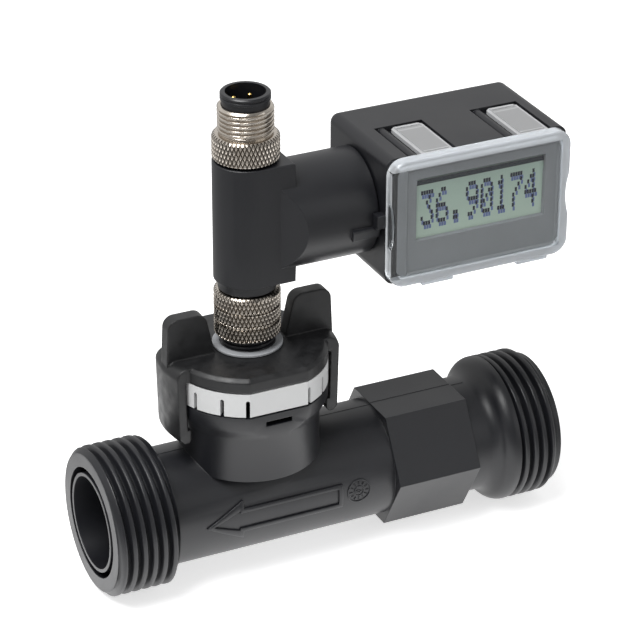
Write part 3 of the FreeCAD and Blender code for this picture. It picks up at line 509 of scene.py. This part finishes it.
def dress(**finishes):
    """Gives carried-over nodes their finishes."""
    for node, finish in finishes.items():
        slots = nodes[node].data.materials
        slots.clear()
        slots.append(finish_of(finish))


# Meshes

def new_object(name, data):
    obj = bpy.data.objects.new(name, data)
    bpy.context.scene.collection.objects.link(obj)
    return obj


def new_mesh(name, shape):
    """A mesh from a shape, which is a list of points in millimetres and a list of faces."""
    verts, faces = shape
    mesh = bpy.data.meshes.new(name)
    mesh.from_pydata([Vector(v) * MM for v in verts], [], faces)
    return mesh


def add_piece(name, shape, finish, body, replaces=(), smooth=True, sharp=SHARP):
    """A piece from a shape, riding on a body."""
    mesh = new_mesh(name, shape)
    bm = bmesh.new()
    bm.from_mesh(mesh)
    bmesh.ops.remove_doubles(bm, verts=bm.verts, dist=1e-7)
    bmesh.ops.recalc_face_normals(bm, faces=bm.faces)
    bm.to_mesh(mesh)
    bm.free()
    return place_mesh(name, mesh, finish, body, replaces, smooth, sharp)


def place_mesh(name, mesh, finish, body, replaces=(), smooth=True, sharp=SHARP):
    mesh.polygons.foreach_set("use_smooth", [smooth] * len(mesh.polygons))
    if smooth:
        mesh.set_sharp_from_angle(angle=sharp)
    piece = new_object(name, mesh)
    mesh.materials.clear()
    mesh.materials.append(finish_of(finish))
    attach(piece, body)
    if replaces:
        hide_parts(*replaces)
    return piece


def welded(mesh):
    """Joins the points that the import split along edges, and drops the normals that it brought."""
    brought = mesh.attributes.get("custom_normal")
    if brought:
        mesh.attributes.remove(brought)
    bm = bmesh.new()
    bm.from_mesh(mesh)
    bmesh.ops.remove_doubles(bm, verts=bm.verts, dist=2e-6)
    bmesh.ops.dissolve_degenerate(bm, edges=bm.edges, dist=1e-7)
    bmesh.ops.recalc_face_normals(bm, faces=bm.faces)
    bm.to_mesh(mesh)
    bm.free()
    return mesh


def node_mesh(node, name):
    """A welded copy of a node's mesh."""
    mesh = nodes[node].data.copy()
    mesh.name = name
    return welded(mesh)


def carved(node, name, tools, finish, body):
    """The node's own form less the given closed shapes, as a piece in its place."""
    work = new_object(name + "_work", node_mesh(node, name))
    for shape in tools:
        tool = new_object("cutter", welded(new_mesh("cutter", shape)))
        cut = work.modifiers.new("cut", "BOOLEAN")
        cut.operation = "DIFFERENCE"
        cut.solver = "EXACT"
        cut.object = tool
        bpy.context.view_layer.update()
        result = bpy.data.meshes.new_from_object(work.evaluated_get(bpy.context.evaluated_depsgraph_get()))
        work.modifiers.clear()
        work.data = result
        bpy.data.objects.remove(tool)
    final = work.data
    final.name = name
    bpy.data.objects.remove(work)
    return place_mesh(name, welded(final), finish, body, (node,))


# Shapes

def wrapped(rows, size):
    """Faces between loops of size points, from each row to the next and from the last to the first."""
    faces = []
    for j in range(rows):
        k = (j + 1) % rows
        for i in range(size):
            n = (i + 1) % size
            faces.append((j * size + i, j * size + n, k * size + n, k * size + i))
    return faces


def lathe(rows, segments, axis="z", radius_at=None):
    """Closed turned shape. Rows are (place along the axis, radius); radius_at may shape them by angle."""
    verts = []
    for along, radius in rows:
        for i in range(segments):
            angle = 2 * math.pi * i / segments
            r = radius_at(along, radius, angle) if radius_at else radius
            a, b = r * math.cos(angle), r * math.sin(angle)
            verts.append((a, b, along) if axis == "z" else (along, a, b))
    return verts, wrapped(len(rows), segments)


def prism(front, back):
    """Closed shape between two loops with the same number of points."""
    count = len(front)
    faces = [tuple(range(count)), tuple(range(count, 2 * count))]
    faces += [(i, (i + 1) % count, count + (i + 1) % count, count + i) for i in range(count)]
    return [*front, *back], faces


def plate(xs, zs, front, back):
    """Flat block between two places in Y."""
    loops = [[(xs[0], y, zs[0]), (xs[1], y, zs[0]), (xs[1], y, zs[1]), (xs[0], y, zs[1])]
             for y in (front, back)]
    return prism(*loops)


def joined(shapes):
    """One shape from several."""
    verts, faces = [], []
    for more_verts, more_faces in shapes:
        base = len(verts)
        verts += more_verts
        faces += [tuple(base + i for i in face) for face in more_faces]
    return verts, faces


def steps(start, end, size):
    """Evenly spaced values from start to end, no further apart than size."""
    count = max(1, math.ceil(abs(end - start) / size))
    return [start + (end - start) * i / count for i in range(count + 1)]


def smoothstep(low, high, value):
    t = min(1.0, max(0.0, (value - low) / (high - low)))
    return t * t * (3 - 2 * t)


def zigzag(value):
    """1 at whole values and 0 halfway between them."""
    return abs(2 * (value - math.floor(value)) - 1)


def ridge(turns):
    """Height of a rounded V thread, 0 at the root and 1 at the crest."""
    return smoothstep(0.06, 0.72, 1 - zigzag(turns))


def diamond(angle, along, count, rise):
    """Height of a diamond knurl, 1 on the points and 0 in the grooves."""
    around = count * angle / (2 * math.pi)
    first, second = (1 - zigzag(around + climb) for climb in (along / rise, -along / rise))
    return smoothstep(0.05, 0.8, min(first, second))


def fine_thread(start, end):
    """Radius of an M12 thread between two heights, fading out at both ends."""

    def radius_at(z, radius, angle):
        if radius < FINE_ROOT_R or z < start - FINE_PITCH or z > end + FINE_PITCH:
            return radius
        turns = z / FINE_PITCH - angle / (2 * math.pi)
        fade = smoothstep(start - 0.6, start + 0.3, z) * (1 - smoothstep(end - 0.1, end + 0.5, z))
        depth = (FINE_CREST_R - FINE_ROOT_R) * (1 - ridge(turns)) * fade
        return min(radius, FINE_CREST_R) - depth

    return radius_at


def knurled(bands):
    """Radius of a diamond knurl on the given bands of a turned piece."""
    count = sizes().knurl_count
    depth = sizes().knurl_depth / MM
    rise = sizes().knurl_rise / MM

    def radius_at(z, radius, angle):
        for start, end in bands:
            if start < z < end and radius > KNURL_R - 0.005:
                return radius - depth * (1 - diamond(angle, z, count, rise))
        return radius

    return radius_at


def towards(a, b, share):
    return (a[0] + (b[0] - a[0]) * share, a[1] + (b[1] - a[1]) * share)


def refined(loop, count):
    """The loop with each side divided, so that it follows the tube's curve."""
    return [towards(a, b, i / count) for a, b in zip(loop, loop[1:] + loop[:1]) for i in range(count)]


def band(outer, inner, height, bevel=0.12, foot=-0.15, top_inset=0.18):
    """Raised line on the tube between two loops of (x, degrees)."""

    def ring(loop, rise):
        for x, degrees in loop:
            angle, reach = math.radians(degrees), TUBE_R + rise
            yield (x, -reach * math.cos(angle), reach * math.sin(angle))

    outer_top = [towards(o, i, top_inset) for o, i in zip(outer, inner)]
    inner_top = [towards(i, o, top_inset) for o, i in zip(outer, inner)]
    rings = [(outer, foot), (outer, height - bevel), (outer_top, height),
             (inner_top, height), (inner, height - bevel), (inner, foot)]
    return [point for loop, rise in rings for point in ring(loop, rise)], wrapped(len(rings), len(outer))


# Operators

class FLOWMETER_OT_tube(bpy.types.Operator):
    """Measuring tube: moulding with both helical pipe threads, flow arrow, mould dial and parting line"""

    bl_idname = "flow_meter.tube"
    bl_label = "Measuring tube"

    def execute(self, context):
        low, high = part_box("measuring_tube")
        left, right = low.x / MM, high.x / MM
        outlet, inlet = left + OUTLET_THREAD, right - INLET_THREAD
        self.moulding(((left - 0.5, outlet + 0.01), (inlet, right + 0.5)))
        self.thread("outlet_thread_form", left, outlet, 0.45, (left, 1.2), (outlet, 0.8))
        self.thread("inlet_thread_form", inlet, right, 0.3, (right, 2.4), (inlet, 0.5))
        self.arrow()
        self.dial()
        self.parting_line()
        return {"FINISHED"}

    def moulding(self, zones):
        """The node's own form with the thread zones turned down to the root radius and a plain boss root."""
        far = 17.2
        tools = [lathe([(start, PIPE_ROOT_R), (end, PIPE_ROOT_R), (end, far), (start, far)], 96, "x")
                 for start, end in zones]
        tools += [self.beside_tube(side) for side in (-1, 1)]
        carved("measuring_tube", "tube_moulding", tools, "tube_black", ROOT)

    def beside_tube(self, side):
        """The space between the tube's side and the boss's edge, under the boss."""
        reach, far = TUBE_R + 0.02, side * 16.0
        profile = [(side * math.sqrt(reach * reach - z * z), z) for z in steps(0.0, BOSS_BOTTOM_Z, 0.5)]
        profile += [(far, BOSS_BOTTOM_Z), (far, 0.0)]
        ends = (-BOSS_ROOT_R - 0.5, BOSS_ROOT_R + 0.5)
        return prism(*([(x, y, z) for y, z in profile] for x in ends))

    def thread(self, name, start, end, phase, outer_bevel, inner_bevel):
        """One pipe thread as a ring whose outside follows the helix. A bevel is (end's place, its depth)."""

        def limit(x):
            return min(PIPE_CREST_R, *(PIPE_CREST_R - depth + abs(x - place)
                                       for place, depth in (outer_bevel, inner_bevel)))

        def radius_at(x, radius, angle):
            if radius < PIPE_ROOT_R:
                return radius
            turns = (x - start) / PIPE_PITCH - angle / (2 * math.pi) + phase
            height = PIPE_ROOT_R + (PIPE_CREST_R - PIPE_ROOT_R) * ridge(turns)
            return max(PIPE_ROOT_R + 0.02, min(limit(x), height))

        rows = [(x, PIPE_CREST_R) for x in steps(start, end, PIPE_PITCH / 14)]
        rows += [(end, PIPE_ROOT_R - 0.02), (start, PIPE_ROOT_R - 0.02)]
        add_piece(name, lathe(rows, 168, "x", radius_at), "tube_black", ROOT,
                  sharp=SHARP_THREAD)

    def arrow(self):
        """Outline arrow that points along the flow, towards the outlet."""
        width = sizes().arrow_width / MM
        tip, head, tail = ARROW_TIP_X, ARROW_HEAD_X, ARROW_TAIL_X
        barb, shaft = ARROW_HEAD_ANGLE, ARROW_SHAFT_ANGLE
        outer = [(tip, 0.0), (head, barb), (head, shaft), (tail, shaft),
                 (tail, -shaft), (head, -shaft), (head, -barb)]
        turn = width * math.degrees(1 / TUBE_R)
        tip, head, tail = tip + 1.75 * width, head - width, tail - width
        barb, shaft = barb - 2.35 * turn, shaft - turn
        inner = [(tip, 0.0), (head, barb), (head, shaft), (tail, shaft),
                 (tail, -shaft), (head, -shaft), (head, -barb)]
        shape = band(refined(outer, 12), refined(inner, 12), sizes().arrow_height / MM)
        add_piece("flow_arrow", shape, "tube_black", ROOT, sharp=SHARP_ON_TUBE)

    def dial(self):
        """Mould's date dial: raised rim, plain radial ticks, hub and pointer."""
        radius = sizes().dial_radius / MM
        degrees = math.degrees(1 / TUBE_R)

        def at(along, aside, turn=0.0):
            c, s = math.cos(turn), math.sin(turn)
            return (DIAL_X + along * c - aside * s, DIAL_ANGLE + degrees * (along * s + aside * c))

        def circle(r, count=48):
            return [at(r, 0.0, 2 * math.pi * i / count) for i in range(count)]

        def tick(turn, inset):
            near, far, half = 1.55 + inset, radius - 0.55 - inset, 0.11 - inset
            return [at(near, -half, turn), at(far, -half, turn), at(far, half, turn), at(near, half, turn)]

        shapes = [band(circle(radius), circle(radius - 0.3), 0.2, 0.06),
                  band(circle(1.25), circle(1.0), 0.16, 0.05)]
        for i in range(DIAL_TICKS):
            turn = 2 * math.pi * i / DIAL_TICKS
            shapes.append(band(tick(turn, 0.0), tick(turn, 0.07), 0.14, 0.04))
        pointer = [at(-0.75, -0.3), at(0.1, -0.3), at(0.8, 0.0), at(0.1, 0.3), at(-0.75, 0.3)]
        inside = [towards(p, at(0.0, 0.0), 0.35) for p in pointer]
        shapes.append(band(refined(pointer, 3), refined(inside, 3), 0.16, 0.05))
        add_piece("mould_dial", joined(shapes), "tube_black", ROOT, sharp=SHARP_ON_TUBE)

    def parting_line(self):
        """Fine raised lines where the mould's halves met, on top of the pipe and the hexagon."""
        shapes = []
        for start, end, top in ((-21.5, -15.3, TUBE_R), (15.3, 29.7, TUBE_R),
                                (29.7, 49.5, HEXAGON_TOP), (49.7, 53.0, TUBE_R)):
            foot, crest = top - 0.1, top + 0.09
            profile = ((-0.16, foot), (-0.05, crest), (0.05, crest), (0.16, foot))
            shapes.append(prism(*([(x, y, z) for y, z in profile] for x in (start, end))))
        add_piece("parting_line", joined(shapes), "tube_black", ROOT)


class FLOWMETER_OT_sensor(bpy.types.Operator):
    """Sensor insert, head, slotted ring and washer"""

    bl_idname = "flow_meter.sensor"
    bl_label = "Sensor and ring"

    def execute(self, context):
        dress(sensor_insert="body_black", piezo_element="ceramic", insert_oring="seal_black",
              sensor_board="board_green", sensor_head="body_black", slotted_ring="ring_white")
        self.washer()
        return {"FINISHED"}

    def washer(self):
        """Grey washer with a rounded rim, pressed thin under the nut."""
        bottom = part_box("seal_washer")[0].z / MM
        top = bottom + WASHER_HEIGHT
        rows = [(bottom, WASHER_BORE_R), (bottom, WASHER_R - 0.14), (bottom + 0.12, WASHER_R),
                (top - 0.12, WASHER_R), (top, WASHER_R - 0.14), (top, WASHER_BORE_R)]
        add_piece("washer_ring", lathe(rows, 120), "washer_grey", ROOT, ("seal_washer",))


class FLOWMETER_OT_cap(bpy.types.Operator):
    """Twist-lock cap"""

    bl_idname = "flow_meter.cap"
    bl_label = "Locking cap"

    def execute(self, context):
        dress(locking_cap="cap_black")
        return {"FINISHED"}


class FLOWMETER_OT_lower_plug(bpy.types.Operator):
    """Lower round plug: threaded shell, insert, contacts and the knurled coupling nut"""

    bl_idname = "flow_meter.lower_plug"
    bl_label = "Lower plug and nut"

    def execute(self, context):
        dress(sensor_plug_insert="insert_black", sensor_plug_pins="gold", socket_seal="seal_black",
              socket_carrier="insert_black", socket_contacts="gold")
        self.shell()
        self.nut()
        return {"FINISHED"}

    def shell(self):
        """Thread under the nut; it looks black beside the nut's bright plate."""
        low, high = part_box("sensor_plug_shell")
        bottom, top = low.z / MM, high.z / MM
        bore = 4.8
        rows = [(bottom, bore), (bottom, FINE_CREST_R), (bottom + 7.4, FINE_CREST_R)]
        rows += [(z, FINE_CREST_R) for z in steps(bottom + 7.5, top - 0.1, FINE_PITCH / 10)]
        rows += [(top, 5.5), (top, bore)]
        shape = lathe(rows, 120, radius_at=fine_thread(bottom + 8.0, top - 0.6))
        add_piece("sensor_plug_thread", shape, "body_black", ROOT, ("sensor_plug_shell",))

    def nut(self):
        """Nut with three knurled bands, two grooves between them and a collar at the top."""
        low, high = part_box("coupling_nut")
        bottom, top = low.z / MM, high.z / MM
        first, second = (bottom + groove for groove in NUT_GROOVES)
        half, edge_r, groove_r = 0.32, KNURL_R - 0.01, 6.86
        wide, narrow = 6.1, 5.15
        bands = [(bottom + 0.55, first - half), (first + half, second - half), (second + half, top - 0.6)]
        rows = [(bottom, wide), (bottom, 6.75), (bottom + 0.4, 7.15)]
        for i, (start, end) in enumerate(bands):
            rows += [(start, edge_r), *((z, KNURL_R) for z in steps(start + 0.05, end - 0.05, KNURL_ROW)),
                     (end, edge_r)]
            if i < 2:
                rows += [(end + 0.07, groove_r), (bands[i + 1][0] - 0.07, groove_r)]
        rows += [(top - 0.45, 7.12), (top - 0.05, 6.75), (top, 6.68), (top, narrow), (top - 1.55, narrow),
                 (top - 1.55, wide)]
        shape = lathe(rows, sizes().knurl_count * KNURL_STEPS, radius_at=knurled(bands))
        add_piece("nut_knurled", shape, "knurl", NUT, ("coupling_nut",), sharp=SHARP_KNURL)


class FLOWMETER_OT_tee(bpy.types.Operator):
    """Tee housing with the seal and clip of the display's swivel"""

    bl_idname = "flow_meter.tee"
    bl_label = "Tee housing"

    def execute(self, context):
        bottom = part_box("coupling_nut")[1].z / MM + 0.1
        near, far = TEE_COLLAR_R, 20.0
        ring = lathe([(bottom, near), (TEE_FLOOR_Z, near), (TEE_FLOOR_Z, far), (bottom, far)], 96)
        carved("tee_body", "tee_moulding", [ring], "body_black", ROOT)
        dress(neck_seal="seal_black", neck_clip="spring_steel")
        return {"FINISHED"}


class FLOWMETER_OT_upper_plug(bpy.types.Operator):
    """Upper round plug: knurled ring with its threaded sleeve, insert and pins"""

    bl_idname = "flow_meter.upper_plug"
    bl_label = "Upper plug"

    def execute(self, context):
        dress(plug_insert="insert_black", plug_pins="gold")
        low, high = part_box("plug_screw")
        bottom, top = low.z / MM, high.z / MM - SLEEVE_SHORT
        ring_top = bottom + PLUG_RING
        bore, foot = 5.15, 5.55
        start, end = bottom + 0.5, ring_top - 0.55
        rows = [(bottom, bore), (bottom, 6.72), (bottom + 0.35, 7.1)]
        rows += [(z, KNURL_R) for z in steps(start + 0.02, end - 0.02, KNURL_ROW)]
        rows += [(ring_top - 0.5, 7.12), (ring_top - 0.08, 6.74), (ring_top, 6.66), (ring_top, foot),
                 (ring_top + 0.5, foot)]
        rows += [(z, FINE_CREST_R) for z in steps(ring_top + 0.62, top - 0.45, FINE_PITCH / 12)]
        rows += [(top - 0.05, 5.62), (top, 5.56), (top, bore)]
        knurl = knurled([(start, end)])
        thread = fine_thread(ring_top + 0.9, top - 0.75)

        def radius_at(z, radius, angle):
            if z > ring_top + 0.55 and radius > 5.9:
                return thread(z, radius, angle)
            return knurl(z, radius, angle)

        shape = lathe(rows, sizes().knurl_count * KNURL_STEPS, radius_at=radius_at)
        add_piece("plug_screw_form", shape, "knurl", PLUG, ("plug_screw",), sharp=SHARP_KNURL)
        return {"FINISHED"}


class FLOWMETER_OT_display(bpy.types.Operator):
    """Display: housing, panel, board and the screen with its dots"""

    bl_idname = "flow_meter.display"
    bl_label = "Display"

    def execute(self, context):
        dress(display_housing="body_black", display_board="board_green", contact_strips="seal_black",
              lcd_module="screen")
        self.panel()
        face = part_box("lcd_module")[0].y / MM
        self.dots("screen_dots", face - 0.012, (0.0, 0.0), "dots")
        # Painted shadow: a shifted bluish copy of the dots stands for their shadow on the screen
        self.dots("screen_dot_painted_shadow", face - 0.006, DOT_SHADOW_SHIFT, "dot_painted_shadow")
        # Painted shadow: a dark strip along the screen's top edge, where the window's edge shades the screen
        painted_top_shadow = plate(TOP_SHADOW_X, TOP_SHADOW_Z, face - 0.008, face + 0.01)
        add_piece("screen_painted_top_shadow", painted_top_shadow, "painted_top_shadow", DISPLAY, smooth=False)
        return {"FINISHED"}

    def panel(self):
        """The front panel, its window opened up to the strip of painted shadow along the screen's upper
        edge.
        """

        def window(y, grow):
            left, right, top = WINDOW_X[0] - grow, WINDOW_X[1] + grow, WINDOW_Z[1] + grow
            return [(left, y, WINDOW_Z[0]), (right, y, WINDOW_Z[0]), (right, y, top), (left, y, top)]

        opening = prism(window(-12.0, 0.0), window(-15.5, WINDOW_FLARE))
        carved("bezel_panel", "panel_form", [opening], "panel_grey", DISPLAY)

    def dots(self, name, y, shift, finish):
        """The reading as a matrix of small flat dots; the shifted copy is their painted shadow."""
        width, height = sizes().dot_width / MM, sizes().dot_height / MM
        shapes = []
        for place, sign in enumerate(READING):
            for row, line in enumerate(DIGITS[sign]):
                for column, mark in enumerate(line):
                    if mark == "0":
                        continue
                    x = DOTS_LEFT + (place * SIGN_PITCH + column) * (width + DOT_GAP_X) + shift[0]
                    z = DOTS_TOP - (row + 1) * (height + DOT_GAP_Z) + shift[1]
                    shapes.append(plate((x, x + width), (z, z + height), y, y + DOT_THICK))
        add_piece(name, joined(shapes), finish, DISPLAY, smooth=False)


class FLOWMETER_OT_cover(bpy.types.Operator):
    """Clear cover over the display"""

    bl_idname = "flow_meter.cover"
    bl_label = "Clear cover"

    def execute(self, context):
        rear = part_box("display_housing")[0].y
        shell = self.part("cover_shell", rear, False, "clear", ("clear_cover",))
        shell.materials.append(finish_of("milky"))
        (left, right), (bottom, top) = self.clear_area()
        for face in shell.polygons:
            x, _, z = face.center
            face.material_index = 0 if left < x < right and bottom < z < top else 1
        self.part("cover_tabs", rear + TAB_START * MM, True, "frosted", ())
        return {"FINISHED"}

    def clear_area(self):
        """Ranges in X and Z inside the cover's milky rim."""
        low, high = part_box("display_housing")
        rim = RIM_WIDTH * MM
        return (low.x + rim, high.x - rim), (low.z + rim, high.z - rim)

    def part(self, name, rear, tabs, finish, replaces):
        """The cover's shell in front of the housing's edge, or the tabs behind it; returns the mesh."""
        mesh = node_mesh("clear_cover", name)
        bm = bmesh.new()
        bm.from_mesh(mesh)

        def cut(place, normal, **clear):
            everything = bm.verts[:] + bm.edges[:] + bm.faces[:]
            return bmesh.ops.bisect_plane(bm, geom=everything, plane_co=place, plane_no=normal, **clear)

        found = cut((0, rear, 0), (0, 1, 0), clear_outer=not tabs, clear_inner=tabs)["geom_cut"]
        rim = [item for item in found if isinstance(item, bmesh.types.BMEdge)]
        bmesh.ops.triangle_fill(bm, edges=rim, use_beauty=True)
        xs, zs = self.clear_area()
        for x in xs:
            cut((x, 0, 0), (1, 0, 0))
        for z in zs:
            cut((0, 0, z), (0, 0, 1))
        bmesh.ops.recalc_face_normals(bm, faces=bm.faces)
        bm.to_mesh(mesh)
        bm.free()
        return place_mesh(name, mesh, finish, COVER, replaces).data


class FLOWMETER_OT_studio(bpy.types.Operator):
    """Floor, soft lamps, white surroundings and the camera"""

    bl_idname = "flow_meter.studio"
    bl_label = "Studio"

    def execute(self, context):
        self.floor()
        self.world()
        self.lamp("key_softbox", (-0.35, -0.15, 0.8), (0.02, 0.0, 0.03), 0.5, 0.5, KEY_WATTS)
        self.lamp("fill_softbox", (0.5, -0.6, 0.35), (0.02, 0.0, 0.04), 0.6, 0.5, FILL_WATTS)
        self.camera()
        context.scene.view_settings.view_transform = "Standard"
        return {"FINISHED"}

    def floor(self):
        """White floor that keeps the shadow. Reflections see it white near the meter and dim far off."""
        size, level = 3.0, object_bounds()[0][2] - 0.00002
        mesh = bpy.data.meshes.new("floor")
        mesh.from_pydata([(-size, -size, level), (size, -size, level), (size, size, level),
                          (-size, size, level)], [], [(0, 1, 2, 3)])
        obj = new_object("floor", mesh)
        mat, t, shader, out = start_material("Floor", Roughness=0.9, Specular_IOR_Level=0.0)
        place = t.place()
        cloud = t.noise(place, 3.0, 1.0)
        t.feed(shader, Base_Color=t.blend(cloud, (0.9, 0.9, 0.9, 1), (0.88, 0.88, 0.885, 1)))
        seen, glossy = self.sight(t)
        far = t.add("ShaderNodeVectorMath", {"operation": "LENGTH"}, place).outputs["Value"]
        near_share = t.span(far, FLOOR_NEAR, FLOOR_FAR, 1.0, FLOOR_FAR_SHARE)
        strength = t.math("MAXIMUM", t.math("MULTIPLY", seen, FLOOR_GLOW),
                          t.math("MULTIPLY", glossy, near_share))
        glow = t.add("ShaderNodeEmission", Strength=strength)
        lit = t.add("ShaderNodeAddShader", None, shader.outputs[0], glow.outputs[0])
        far_off = t.math("MULTIPLY", glossy, t.math("SUBTRACT", 1.0, near_share))
        t.choose(out, far_off, lit, t.add("ShaderNodeEmission", Strength=FLOOR_FAR_MIRRORED))
        mesh.materials.append(mat)
        obj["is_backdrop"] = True

    def sight(self, t):
        """Two masks: what the camera sees, also through clear plastic, and what it sees in a reflection."""
        path = t.add("ShaderNodeLightPath").outputs
        plain = t.math("LESS_THAN", path["Diffuse Depth"], 0.5)
        through = t.math("MULTIPLY", path["Is Transmission Ray"], plain)
        shiny = t.math("GREATER_THAN", path["Glossy Depth"], 0.5)
        straight = t.math("MULTIPLY", through, t.math("SUBTRACT", 1.0, shiny))
        return (t.math("MAXIMUM", path["Is Camera Ray"], straight),
                t.math("MAXIMUM", path["Is Glossy Ray"], t.math("MULTIPLY", through, shiny)))

    def world(self):
        """Plain light; white for the camera, and for reflections too, which are dimmer to the front."""
        world = bpy.data.worlds.new("Studio")
        bpy.context.scene.world = world
        world.use_nodes = True
        world.node_tree.nodes.clear()
        t = Tree(world.node_tree)
        out = t.add("ShaderNodeOutputWorld")
        behind = t.axes(t.add("ShaderNodeTexCoord").outputs["Generated"])[1]
        share = t.span(behind, -0.6, 0.5, WORLD_FRONT_MIRRORED, 1.0)
        seen, glossy = self.sight(t)
        strength = t.math("MAXIMUM", seen, t.math("MULTIPLY", glossy, share))
        light = t.add("ShaderNodeBackground", Strength=WORLD_LIGHT)
        white = t.add("ShaderNodeBackground", Strength=strength)
        t.choose(out, t.math("MAXIMUM", seen, glossy), light, white)

    def lamp(self, name, place, target, width, height, power):
        data = bpy.data.lights.new(name, "AREA")
        data.shape = "RECTANGLE"
        data.size = width
        data.size_y = height
        data.energy = power
        obj = new_object(name, data)
        obj.location = place
        aim = Vector(target) - Vector(place)
        obj.rotation_euler = aim.to_track_quat("-Z", "Y").to_euler()

    def camera(self):
        """Camera at the picture's viewing angle: bearing, height and distance from a point on the meter."""
        bearing, height, roll = (math.radians(a) for a in (-25.73, 27.73, 0.14))
        target = Vector((15.23, 0.0, 36.98)) * MM
        distance = 643.3 * MM
        level = math.cos(height)
        back = Vector((math.sin(bearing) * level, -math.cos(bearing) * level, math.sin(height)))
        right = Vector((math.cos(bearing), math.sin(bearing), 0))
        up = back.cross(right)
        side = right * math.cos(roll) + up * math.sin(roll)
        top = up * math.cos(roll) - right * math.sin(roll)
        data = bpy.data.cameras.new("camera")
        data.sensor_fit = "HORIZONTAL"
        data.sensor_width = 36.0
        data.lens = 171.73
        data.clip_start = 0.01
        obj = new_object("camera", data)
        turned = Matrix(((side.x, top.x, back.x), (side.y, top.y, back.y), (side.z, top.z, back.z)))
        obj.matrix_world = Matrix.Translation(target + back * distance) @ turned.to_4x4()
        bpy.context.scene.camera = obj


OPERATORS = (
    FLOWMETER_OT_tube, FLOWMETER_OT_sensor, FLOWMETER_OT_cap, FLOWMETER_OT_lower_plug, FLOWMETER_OT_tee,
    FLOWMETER_OT_upper_plug, FLOWMETER_OT_display, FLOWMETER_OT_cover, FLOWMETER_OT_studio)


class FLOWMETER_PT_panel(bpy.types.Panel):
    """Lists the pieces of the flow meter and their sizes and colours"""

    bl_idname = "FLOWMETER_PT_panel"
    bl_label = "Flow meter"
    bl_space_type = "VIEW_3D"
    bl_region_type = "UI"
    bl_category = "Flow meter"

    def draw(self, context):
        column = self.layout.column()
        for operator in OPERATORS:
            column.operator(operator.bl_idname)
        for settings in (context.scene.flow_meter_sizes, context.scene.flow_meter_colours):
            box = self.layout.box()
            for name in settings.__annotations__:
                box.prop(settings, name)


CLASSES = (FLOWMETER_PG_sizes, FLOWMETER_PG_colours, *OPERATORS, FLOWMETER_PT_panel)


def register():
    for item in CLASSES:
        bpy.utils.register_class(item)
    bpy.types.Scene.flow_meter_sizes = bpy.props.PointerProperty(type=FLOWMETER_PG_sizes)
    bpy.types.Scene.flow_meter_colours = bpy.props.PointerProperty(type=FLOWMETER_PG_colours)


def unregister():
    del bpy.types.Scene.flow_meter_colours
    del bpy.types.Scene.flow_meter_sizes
    for item in reversed(CLASSES):
        bpy.utils.unregister_class(item)


def main():
    register()
    for operator in OPERATORS:
        area, name = operator.bl_idname.split(".")
        getattr(getattr(bpy.ops, area), name)()
    boxes = {"cad": cad_box, "visual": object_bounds()}
    plain = {key: [[float(v) for v in corner] for corner in box] for key, box in boxes.items()}


if __name__ == "__main__":
    main()
